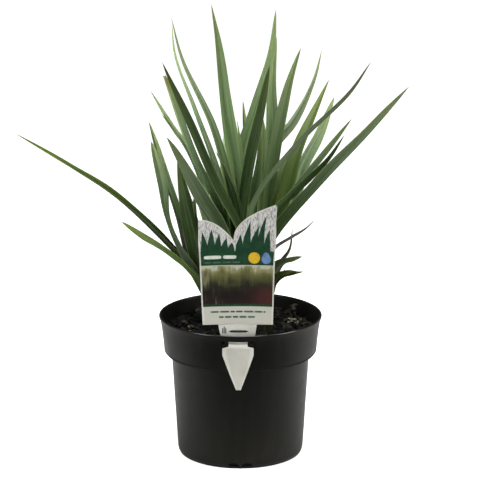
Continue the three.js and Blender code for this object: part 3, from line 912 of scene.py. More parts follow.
    def twig(self, where: Span, length: float, tone: float) -> None:
        """Adds one bent twig or fibre.

        Args:
            where: Its place on the bed.
            length: Its length.
            tone: Its place on the bark's range of tones.
        """
        rng, mesh = self.rng, self.litter.mesh
        turn = Matrix.Rotation(rng.random() * math.tau, 4, "Z") @ Matrix.Rotation(math.pi / 2, 4, "Y")
        start = len(mesh.verts)
        made = bmesh.ops.create_cone(mesh, cap_ends=True, segments=6, radius1=rng.uniform(0.3, 0.7),
                                     radius2=0.15, depth=length)["verts"]
        edges = {e for v in made for e in v.link_edges if abs((e.verts[0].co - e.verts[1].co).z) > 1}
        bmesh.ops.subdivide_edges(mesh, edges=list(edges), cuts=4)
        mesh.verts.ensure_lookup_table()
        verts, bend = mesh.verts[start:], rng.uniform(-2.5, 2.5)
        z = self.height_at(*where) + rng.uniform(1.0, 2.0)
        for vert in verts:
            share = vert.co.z / length
            vert.co.x += (0.25 - share * share) * 3.0
            vert.co.y += bend * share * share * 4
            self.litter.mark(vert, (tone, 0, 0))
        bmesh.ops.transform(mesh, matrix=Matrix.Translation((*where, z)) @ turn, verts=verts)


@dataclass(frozen=True)
class Leaf:
    """One strap leaf, folded along its keel, on a route from root to tip in millimetres.

    It faces an angle in degrees at its root and turns on from there. Its wings stand at half the opening
    angle. Left and right are the painted light and shade of its wings, lift the painted gain in light towards
    its tip.
    """

    route: tuple[Point, ...]
    width: float
    faces: float
    turn: float
    opening: float
    taper: float
    tone: Tone
    # Left, right and lift are painted light and shade: one wing lit, the other shaded, and lighter towards
    # the tip.
    left: float = 1.0
    right: float = 1.0
    lift: float = 0.0
    torn: float = 0.0
    ripple: float = 0.25

    COLUMNS: ClassVar[int] = 20
    ROWS: ClassVar[int] = 46
    SAMPLES: ClassVar[int] = 240
    THICKNESS: ClassVar[float] = 0.8
    FULL_THICKNESS_FROM: ClassVar[float] = 2.5
    NARROWEST: ClassVar[float] = 0.02
    BASE_FOLD: ClassVar[float] = 24.0
    OPENS: ClassVar[Span] = (0.15, 0.6)
    ARCH: ClassVar[float] = 0.1
    KEEL: ClassVar[Span] = (-0.05, 0.05)
    # Spans along the blade over which the painted light gains towards the tip, in value and in bloom.
    LIGHTENS: ClassVar[Span] = (0.2, 0.95)
    PAINTED_LIGHT_BLOOMS: ClassVar[Span] = (0.4, 1.0)
    TEARS: ClassVar[Span] = (0.93, 1.0)
    MARGIN: ClassVar[float] = 0.999
    # Cap on the upper side's painted light.
    BRIGHTEST_UPPER: ClassVar[float] = 1.7
    WARMTH_SPREAD: ClassVar[float] = 0.06

    def curve_point(self, t: float) -> Vector:
        """Returns the centripetal spline's point at its own parameter t, from 0 to 1."""
        points = [Vector(p) for p in self.route]
        last = len(points) - 1
        index = min(int(t * last), last - 1)
        share = t * last - index
        p1, p2 = points[index], points[index + 1]
        p0 = points[index - 1] if index > 0 else p1 + (p1 - p2)
        p3 = points[index + 2] if index + 2 <= last else p2 + (p2 - p1)
        d0, d1, d2 = (max((b - a).length, 1e-4) ** 0.5 for a, b in ((p0, p1), (p1, p2), (p2, p3)))
        out = ((p1 - p0) / d0 - (p2 - p0) / (d0 + d1) + (p2 - p1) / d1) * d1
        back = ((p2 - p1) / d1 - (p3 - p1) / (d1 + d2) + (p3 - p2) / d2) * d1
        square = -3 * p1 + 3 * p2 - 2 * out - back
        cube = 2 * p1 - 2 * p2 + out + back
        return p1 + out * share + square * share ** 2 + cube * share ** 3

    def stations(self) -> list[tuple[Vector, Vector]]:
        """Returns the place and direction of every row, evenly spaced along the route."""
        fine = [self.curve_point(i / self.SAMPLES) for i in range(self.SAMPLES + 1)]
        reach = [0.0]
        for a, b in zip(fine, fine[1:]):
            reach.append(reach[-1] + (b - a).length)
        found, step = [], 0
        for row in range(self.ROWS + 1):
            wanted = reach[-1] * row / self.ROWS
            while step < self.SAMPLES - 1 and reach[step + 1] < wanted:
                step += 1
            share = (wanted - reach[step]) / max(reach[step + 1] - reach[step], 1e-9)
            ahead = fine[min(step + 3, self.SAMPLES)] - fine[max(step - 2, 0)]
            found.append((fine[step].lerp(fine[step + 1], share), ahead.normalized()))
        return found

    def half_width(self, share: float) -> float:
        """Returns half the blade's width at a share of its length."""
        body = 0.6 + 0.4 * smoothstep(share, 0.0, 0.5)
        to_tip = min((1 - share + self.torn) / self.taper, 1.0)
        return max(self.width / 2 * body * (1 - (1 - to_tip) ** 2) ** 0.75, self.NARROWEST)

    def thinned(self, half: float) -> float:
        """Returns the blade's full thickness where half its width is given."""
        return self.THICKNESS * min(1.0, half / self.FULL_THICKNESS_FROM)

    def place(self, across: float, upper: bool, half: float, fold: float) -> Span:
        """Finds a point of the folded section.

        Args:
            across: Place from -1 at the left margin to 1 at the right one.
            upper: Whether it is on the upper side.
            half: Half the blade's width.
            fold: Half the angle between the wings.

        Returns:
            Place sideways and upwards from the route.
        """
        reach = abs(across) * half
        thick = self.thinned(half) * (1 - abs(across) ** 1.5)
        if upper:
            reach = max(reach, thick / math.tan(fold))
        arch = self.ARCH * half * (1 - (2 * min(reach / half, 1.0) - 1) ** 2)
        lift = arch + (thick if upper else 0.0)
        sideways = reach * math.sin(fold) - lift * math.cos(fold)
        upwards = reach * math.cos(fold) + lift * math.sin(fold) - half * math.cos(fold) / 2
        return (math.copysign(max(sideways, 0.0), across), upwards)

    def painted_light_at(self, across: float, share: float, upper: bool) -> float:
        """Returns the painted light and shade of one side of the blade at a place across it and along it."""
        wing = lerp(self.left, self.right, smoothstep(across, *self.KEEL))
        value = wing * (1 + self.lift * (2 * smoothstep(share, *self.LIGHTENS) - 1))
        return min(value, self.BRIGHTEST_UPPER) if upper else value

    def grow(self, model: Model, rng: random.Random) -> None:
        """Adds the leaf to a shoot's mesh as one closed blade.

        Args:
            model: The shoot's mesh, with its named vectors.
            rng: The seeded source of chance.
        """
        mesh, seed = model.mesh, rng.uniform(0, 40)
        verts, stations, middle = model.grid(self.COLUMNS, self.ROWS), self.stations(), self.COLUMNS // 2
        waves, phase = rng.uniform(2.0, 4.5), rng.uniform(0, math.tau)
        warmth, bloom, plum = self.tone.value
        warmth = min(max(warmth + rng.uniform(-self.WARMTH_SPREAD, self.WARMTH_SPREAD), 0.0), 1.0)
        for vert in verts:
            column = round((vert.co.x + 0.5) * self.COLUMNS)
            row = round((vert.co.y + 0.5) * self.ROWS)
            share = row / self.ROWS
            upper = column <= middle
            across = 2 * column / middle - 1 if upper else 3 - 2 * column / middle
            across = math.copysign(abs(across) ** 1.25, across)
            centre, along = stations[row]
            angle = math.radians(self.faces + self.turn * share)
            side = Vector((0, 0, 1)).cross(Vector((math.cos(angle), math.sin(angle), 0)))
            side = (side - along * side.dot(along)).normalized()
            half = self.half_width(share)
            fold = max(math.radians(lerp(self.BASE_FOLD, self.opening, smoothstep(share, *self.OPENS))),
                       math.atan(1.5 * self.thinned(half) / half))
            sideways, upwards = self.place(across, upper, half, fold)
            wave = math.sin(waves * share * math.tau + phase + across) * min(half / 5, 1)
            wave *= self.ripple * across ** 2
            ragged = rng.uniform(-2.5, 0.5) if self.torn and row == self.ROWS else 0.0
            vert.co = centre + side * sideways + side.cross(along) * (upwards + wave) + along * ragged
            # The tint vector carries the wing's painted light and shade, the tone's warmth, and its bloom
            # with a painted gain towards the tip.
            model.mark(
                vert,
                (across, share, 0.0 if upper or abs(across) > self.MARGIN else 1.0),
                (self.painted_light_at(across, share, upper), warmth,
                 bloom + max(self.lift, 0.0) * smoothstep(share, *self.PAINTED_LIGHT_BLOOMS)),
                (plum, seed, smoothstep(share, *self.TEARS) if self.torn else 0.0))
        self.close(mesh, verts)

    @staticmethod
    def close(mesh: bmesh.types.BMesh, verts: Sequence[bmesh.types.BMVert]) -> None:
        """Seals the blade's seam, tip and root, and turns its faces outwards.

        Args:
            mesh: The shoot's mesh.
            verts: The blade's vertices.
        """
        marked = set(verts)
        bmesh.ops.remove_doubles(mesh, verts=verts, dist=0.0005)
        kept = [v for v in mesh.verts if v in marked]
        rims = list({e for v in kept for e in v.link_edges if e.is_boundary})
        if rims:
            bmesh.ops.holes_fill(mesh, edges=rims, sides=0)
        bmesh.ops.recalc_face_normals(mesh, faces=list({f for v in kept for f in v.link_faces}))


@dataclass(frozen=True)
class Shoot:
    """One fan of leaves round a stem base in the potting mix."""

    foot: Span
    leaves: tuple[Leaf, ...]
    slot: Slot = Slot.LEAF
    # Painted light and shade of the stem and the sheathing leaves at the foot; low values are painted shade.
    shade: float = 0.5

    STEM: ClassVar[tuple[Span, ...]] = (
        (0.0, 94.0), (5.0, 94.0), (6.0, 100.0), (6.0, 112.0), (5.2, 117.0), (4.0, 122.0), (2.2, 128.0),
        (0.0, 134.0))

    def sheaths(self) -> list[Leaf]:
        """Returns the four short sheathing leaves at the foot, in turn round the stem."""
        (x, y), found = self.foot, []
        for index in range(4):
            angle = math.radians(40 + 90 * index)
            route = tuple((x + out * math.cos(angle), y + out * math.sin(angle), z)
                          for out, z in ((2.0, 104.0), (3.6, 116.0), (5.5, 128.0 + 5 * index)))
            found.append(Leaf(route, 10.0, math.degrees(angle) + 180, 0, 60, 0.8, Tone.OLIVE,
                              self.shade, self.shade))
        return found

    def build(self, name: str, material: bpy.types.Material) -> None:
        """Makes the shoot as one piece in place of its node.

        Args:
            name: The node's name.
            material: The leaf finish.
        """
        rng = random.Random(name)
        model = Model(name + "_leaves", self.slot, ("blade", "tint", "extra"))
        for vert in model.turned(self.STEM, 20, self.foot):
            # The stem takes the shoot's painted shade as its painted light.
            model.mark(vert, (0.5, 0.02, 1.0), (self.shade, 0.4, 0.1), (0.0, 3.0, 0.3))
        for leaf in (*self.leaves, *self.sheaths()):
            leaf.grow(model, rng)
        model.finish([material], [name], sharp=58.0)


@dataclass(frozen=True)
class TagRow:
    """One height of the tag's outline: its depth and its two side edges."""

    z: float
    y: float
    left: float
    right: float


@dataclass
class PlantTag:
    """White plastic tag: a stake through the slot, a neck and a bowed card with a die-cut top."""

    thickness: float = 0.7
    bow: float = 3.0
    half_width: float = 32.0
    notch_share: float = 0.454
    notch_z: float = 205.3
    left_corner: float = 223.6
    right_corner: float = 236.2
    stake_top: float = 113.0
    panel_depth: float = 0.3
    columns: int = 56
    row_height: float = 1.6
    crown_rows: int = 14
    border: float = 1.1
    film: float = 0.07

    ROWS: ClassVar[tuple[TagRow, ...]] = (
        TagRow(76.4, -69.7, -3.7, 0.3), TagRow(92, -69.7, -9.8, 6), TagRow(107, -69.7, -15.2, 11.1),
        TagRow(113.2, -69.6, -15.2, 11.1), TagRow(114.5, -69.3, -10, 6), TagRow(117.6, -65.6, -10, 6),
        TagRow(119.4, -64.9, -11, 7), TagRow(122, -64.8, -16.6, 12.2), TagRow(132.6, -64.6, -18.6, 13.8),
        TagRow(133, -64.6, -31.6, 27.2), TagRow(160, -64.4, -32.8, 27.9), TagRow(190, -64.2, -34.1, 28.7),
        TagRow(204, -64.1, -35, 29.6), TagRow(260, -63.7, -38.6, 33.2))
    CARD_FOOT: ClassVar[float] = 132.7
    LAST: ClassVar[int] = 12

    def top_at(self, x: float) -> float:
        """Returns the height of the card's top edge at x."""
        left, right = self.ROWS[self.LAST].left, self.ROWS[self.LAST].right
        notch = left + self.notch_share * (right - left)
        if x <= notch:
            share = min(max((x - left) / (notch - left), 0.0), 1.0)
            return lerp(self.notch_z, self.left_corner, 1 - share ** 2.1)
        share = min((x - notch) / (right - notch), 1.0)
        return lerp(self.notch_z, self.right_corner, share ** 0.42)

    def row_at(self, z: float) -> TagRow:
        """Returns the outline at any height."""
        for low, high in zip(self.ROWS, self.ROWS[1:]):
            if z <= high.z:
                break
        share = (z - low.z) / (high.z - low.z)
        return TagRow(z, lerp(low.y, high.y, share), lerp(low.left, high.left, share),
                      lerp(low.right, high.right, share))

    def front_at(self, x: float, z: float) -> float:
        """Returns the depth of the tag's front face."""
        bow = self.bow * (x / self.half_width) ** 2 if z >= self.CARD_FOOT else 0.0
        return self.row_at(z).y - bow - self.thickness / 2

    def column_x(self, share: float, left: float, right: float) -> float:
        """Returns a column's place between the side edges, closer together beside the notch."""
        notch = left + self.notch_share * (right - left)
        if share <= 0.5:
            return left + 2 * share * (notch - left)
        return notch + (2 * share - 1) ** 1.6 * (right - notch)

    def heights(self) -> list[float]:
        """Returns the heights of the sheet's rows below its die-cut edge."""
        found = []
        for low, high in zip(self.ROWS[:self.LAST], self.ROWS[1:]):
            steps = max(1, round((high.z - low.z) / self.row_height))
            found += [lerp(low.z, high.z, step / steps) for step in range(steps)]
        return found + [self.ROWS[self.LAST].z]

    def build_sheet(self, material: bpy.types.Material) -> None:
        """Makes the white sheet: stake with its sunk panel, neck and card.

        Args:
            material: The tag's white plastic.
        """
        sheet = Model("tag_sheet", Slot.TAG, ("sheet",))
        heights = self.heights()
        rows = len(heights) - 1 + self.crown_rows
        for vert in sheet.grid(self.columns, rows):
            row = round((vert.co.y + 0.5) * rows)
            z = heights[min(row, len(heights) - 1)]
            place = self.row_at(z)
            x = self.column_x(vert.co.x + 0.5, place.left, place.right)
            z = lerp(z, self.top_at(x), max(row - len(heights) + 1, 0) / self.crown_rows)
            middle, half = (place.left + place.right) / 2, (place.right - place.left) / 2
            panel = 1 - smoothstep(abs(x - middle) / half, 0.7, 0.82) if z < self.stake_top else 0.0
            edge = min(x - place.left, place.right - x, self.top_at(x) - z)
            vert.co = (x, self.front_at(x, z) + self.panel_depth * panel, z)
            # The sheet vector holds the masks for painted shade: the sunk panel and the card's face inside
            # its border.
            sheet.mark(vert, (panel, 1.0 if z > self.CARD_FOOT and edge >= self.border else 0.0, 0.0))
        bmesh.ops.recalc_face_normals(sheet.mesh, faces=sheet.mesh.faces)
        sheet.mesh.faces.ensure_lookup_table()
        if sheet.mesh.faces[0].normal.y > 0:
            bmesh.ops.reverse_faces(sheet.mesh, faces=sheet.mesh.faces)
        bmesh.ops.solidify(sheet.mesh, geom=list(sheet.mesh.faces), thickness=self.thickness)
        sheet.finish([material], ["plant_tag"], sharp=40.0)


class Ink(Enum):
    """Inks of the tag's print, with their material numbers."""

    HATCH = 0
    GREEN = 1
    GARDEN = 2
    PALE = 3
    SUN = 4
    DROP = 5
    SAGE = 6


@dataclass
class TagPrint:
    """A plain generic print on the tag: hatch, band, grass blades, bars, sun, drop and a garden bed."""

    tag: PlantTag
    band: Span = (184.2, 196.4)
    picture: Span = (150.6, 183.6)
    rule: Span = (148.6, 150.6)
    sun: Point = (11.5, 190.4, 4.9)
    drop: Point = (21.5, 189.4, 4.0)
    card_middle: float = 180.0
    hatch_margin: float = 1.2
    blade_margin: float = 2.2
    overlap: float = 0.2
    seed: int = 5

    BLADES: ClassVar[tuple[Box, ...]] = (
        (-30.0, 6.0, 17.0, -2.0), (-24.5, 7.0, 19.0, 0.5), (-19.0, 6.5, 15.0, 1.5), (-13.5, 6.5, 11.5, 2.0),
        (-8.0, 6.0, 7.5, 1.0), (-1.0, 6.5, 14.5, 1.5), (5.0, 7.5, 25.0, 3.5), (11.0, 7.0, 22.0, 5.0),
        (16.5, 6.5, 31.0, 5.5), (22.0, 6.0, 19.0, 2.5))
    BARS: ClassVar[tuple[tuple[Ink, Box, int], ...]] = (
        (Ink.PALE, (-30.5, -16.0, 189.6, 192.6), 2), (Ink.PALE, (-14.5, -3.5, 189.6, 192.6), 2),
        (Ink.GREEN, (-10.0, 7.0, 125.6, 127.6), 1), (Ink.GREEN, (-15.28, -14.48, 124.6, 129.6), 1),
        (Ink.GREEN, (-14.0, -13.2, 124.6, 131.2), 1), (Ink.GREEN, (-12.72, -11.92, 124.6, 129.6), 1))
    DASHED: ClassVar[tuple[tuple[Box, int], ...]] = (
        ((-30.5, 0.0, 186.05, 187.15), 2), ((-25.0, 21.0, 143.15, 144.65), 1),
        ((-18.0, 14.0, 138.55, 140.05), 1))

    def __post_init__(self) -> None:
        """Opens the mesh of all films, and its seeded source of chance."""
        self.rng, self.model = random.Random(self.seed), Model("tag_print", Slot.TAG, ("patch",))

    def seal(self, ink: Ink, old: set[bmesh.types.BMFace]) -> None:
        """Gives a new film its outward side, its thickness and its ink.

        Args:
            ink: Its ink.
            old: The faces that were there before it.
        """
        mesh = self.model.mesh
        film = [face for face in mesh.faces if face not in old]
        for face in film:
            face.normal_update()
        if film[0].normal.y > 0:
            bmesh.ops.reverse_faces(mesh, faces=film)
        bmesh.ops.solidify(mesh, geom=film, thickness=self.tag.film * 0.9)
        for face in mesh.faces:
            if face not in old:
                face.material_index = ink.value

    def field(self, ink: Ink, low: float, high: Callable[[float], float], grid: tuple[int, int],
              layer: int = 1) -> None:
        """Prints one field over the card's width as a thin film.

        Args:
            ink: Its ink.
            low: Height of its lower edge.
            high: Height of its upper edge at x.
            grid: Its columns and rows.
            layer: Films under it, counting itself.
        """
        tag, old = self.tag, set(self.model.mesh.faces)
        for vert in self.model.grid(*grid):
            u, v = vert.co.x + 0.5, vert.co.y + 0.5
            z = self.card_middle
            for _ in range(3):
                row = tag.row_at(z)
                x = lerp(row.left + tag.border, row.right - tag.border, u)
                z = lerp(low, high(x), v)
            vert.co = (x, tag.front_at(x, z) - tag.film * layer, z)
            self.model.mark(vert, (u, v, 0))
        self.seal(ink, old)

    def spot(self, ink: Ink, centre: Span, outline: Callable[[float], float], layer: int) -> None:
        """Prints one mark round a centre.

        Args:
            ink: Its ink.
            centre: Its place on the card.
            outline: Radius at each angle.
            layer: Films under it, counting itself.
        """
        mesh, old = self.model.mesh, set(self.model.mesh.faces)
        verts = bmesh.ops.create_circle(mesh, cap_ends=True, cap_tris=True, segments=40, radius=1.0)["verts"]
        inner = [e for v in verts for e in v.link_edges if not e.is_boundary]
        bmesh.ops.subdivide_edges(mesh, edges=list(set(inner)), cuts=2)
        for vert in {v for f in mesh.faces if f not in old for v in f.verts}:
            radius, angle = math.hypot(vert.co.x, vert.co.y), math.atan2(vert.co.y, vert.co.x)
            x = centre[0] + radius * outline(angle) * math.cos(angle)
            z = centre[1] + radius * outline(angle) * math.sin(angle)
            vert.co = (x, self.tag.front_at(x, z) - self.tag.film * layer, z)
        self.seal(ink, old)

    def bar(self, ink: Ink, box: Box, layer: int) -> None:
        """Prints one plain bar with soft ends.

        Args:
            ink: Its ink.
            box: Its left, right, lower and upper sides.
            layer: Films under it, counting itself.
        """
        left, right, low, high = box
        half_long, half_high = (right - left) / 2, (high - low) / 2

        def outline(angle: float) -> float:
            """Returns the radius of a rounded bar at an angle."""
            c, s = abs(math.cos(angle)) / half_long, abs(math.sin(angle)) / half_high
            return (c ** 6 + s ** 6) ** (-1 / 6)

        self.spot(ink, (left + half_long, low + half_high), outline, layer)

    def dashes(self, box: Box, layer: int) -> None:
        """Prints a row of short bars of mixed lengths, as plain as a ruled line.

        Args:
            box: The row's left, right, lower and upper sides.
            layer: Films under it, counting itself.
        """
        x, end, low, high = box
        while x < end - 1.5:
            long = min(self.rng.uniform(3.4, 8.2), end - x)
            self.bar(Ink.SAGE, (x, x + long, low, high), layer)
            x += long + 1.0

    def blade(self, foot: float, wide: float, tall: float, lean: float) -> None:
        """Prints one upright grass blade that rises from the band.

        Args:
            foot: Place of its foot.
            wide: Width of its foot.
            tall: Its height.
            lean: How far its tip leans.
        """
        tag, old = self.tag, set(self.model.mesh.faces)
        for vert in self.model.grid(4, 12):
            u, v = vert.co.x, vert.co.y + 0.5
            x = foot + lean * v * v + u * wide * (1 - v ** 1.7)
            z = min(self.band[1] - self.overlap + tall * v, tag.top_at(x) - self.blade_margin)
            vert.co = (x, tag.front_at(x, z) - tag.film * 2, z)
        self.seal(Ink.GREEN, old)

    def build(self) -> None:
        """Makes every printed film as one piece on the sheet."""
        self.field(Ink.HATCH, self.band[1], lambda x: self.tag.top_at(x) - self.hatch_margin, (56, 20))
        self.field(Ink.GREEN, self.band[0], lambda x: self.band[1], (48, 6))
        self.field(Ink.GARDEN, self.picture[0], lambda x: self.picture[1], (40, 24))
        self.field(Ink.GREEN, self.rule[0], lambda x: self.rule[1], (48, 2), 2)
        for blade in self.BLADES:
            self.blade(*blade)
        for bar in self.BARS:
            self.bar(*bar)
        for row in self.DASHED:
            self.dashes(*row)
        sun, drop = self.sun[2], self.drop[2]
        self.spot(Ink.SUN, self.sun[:2], lambda angle: sun + 0.25 * math.cos(16 * angle), 2)
        self.spot(Ink.DROP, self.drop[:2], lambda angle: drop + 2.0 * max(0.0, math.sin(angle)) ** 7, 2)
        inks = (
            InkFinish("print_hatch", srgb("cfcec8"), srgb("88868a"), (1.0, 1.0, 0.22), 1500.0, (0.47, 0.62)),
            InkFinish("print_dark_green", srgb("143c24"), srgb("1b4a2e")),
            GardenFinish(),
            InkFinish("print_pale", srgb("d8ddd2"), srgb("c5ccc0")),
            InkFinish("print_sun", srgb("dcb61a"), srgb("cfa01c")),
            InkFinish("print_drop", srgb("6f8fb8"), srgb("5a76a4")),
            InkFinish("print_sage", srgb("51705c"), srgb("3e5a48")))
        self.model.finish([ink.build() for ink in inks], sharp=50.0)


@dataclass
class Studio:
    """Plain pale floor, white surroundings, soft lights and the camera at the photograph's angle."""

    camera_place: Point = (-0.00035, -2.2120, 0.7531)
    pitch: float = 14.3
    lens: float = 199.5
    sensor: float = 36.0
    clip: Span = (0.1, 100.0)
    floor_size: float = 30.0
    aim: Point = (0.0, 0.0, 0.2)

    LIGHTS: ClassVar[tuple[tuple[str, Point, Span, float], ...]] = (
        ("top_box", (0.1, -0.5, 1.9), (1.2, 1.2), 30.0),
        ("left_box", (-1.5, -1.0, 1.0), (0.8, 1.2), 14.0),
        ("right_box", (1.6, -0.5, 0.9), (0.8, 1.2), 14.0))

    def build_camera(self) -> None:
        """Makes the camera."""
        data = bpy.data.cameras.new("photo_camera")
        data.lens, data.sensor_width = self.lens, self.sensor
        data.clip_start, data.clip_end = self.clip
        camera = new_object("photo_camera", data)
        camera.location = self.camera_place
        camera.rotation_euler = (math.radians(90 - self.pitch), 0.0, 0.0)
        bpy.context.scene.camera = camera

    def build_lights(self) -> None:
        """Hangs the soft boxes, each with its size and watts, and aims them at the plant."""
        for name, place, size, watts in self.LIGHTS:
            data = bpy.data.lights.new(name, "AREA")
            data.shape, data.size, data.size_y, data.energy = "RECTANGLE", *size, watts
            lamp = new_object(name, data)
            lamp.location = place
            lamp.rotation_euler = (Vector(self.aim) - Vector(place)).to_track_quat("-Z", "Y").to_euler()

    def build_world(self) -> None:
        """Makes white surroundings that are dimmer on the camera's side for everything but the eye."""
        world = bpy.data.worlds.new("studio")
        world.use_nodes = True
        bpy.context.scene.world = world
        nodes = Nodes(world.node_tree)
        _, y, z = nodes.split(nodes.take(nodes.add("TexCoord"), "Generated"))
        level = y.rise(-0.75, 0.35) * 0.85 + z.rise(0.05, 0.9) * 0.55 + 0.06
        seen = nodes.take(nodes.add("LightPath"), "Is Camera Ray")
        nodes.fill(world.node_tree.nodes["Background"], {"Strength": seen + (1.0 - seen) * level})

    def build_floor(self) -> None:
        """Makes the pale floor, which glows white to the eye and stays dark in what the pot mirrors."""
        mesh = bmesh.new()
        bmesh.ops.create_grid(mesh, x_segments=1, y_segments=1, size=self.floor_size)
        floor = mesh_object("floor", mesh)
        nodes = Surface("floor_white")
        place = nodes.place()
        pale = nodes.mix(nodes.grain(place, 60.0)[1], srgb("f4f4f2"), srgb("fafaf9"))
        rays = nodes.add("LightPath")
        dim = nodes.take(rays, "Is Glossy Ray") * nodes.split(place)[1].fall(-0.24, 0.05) * 0.9
        floor.data.materials.append(nodes.finish({
            "Base Color": nodes.mix(dim, pale, srgb("000000")),
            "Roughness": 0.9,
            "Specular IOR Level": 0.0,
            "Emission Color": srgb("ffffff"),
            "Emission Strength": nodes.take(rays, "Is Camera Ray") * 0.88}))

    def build(self) -> None:
        """Sets up the whole studio."""
        bpy.context.scene.view_settings.view_transform = "Standard"
        self.build_camera()
        self.build_world()
        self.build_floor()
        self.build_lights()


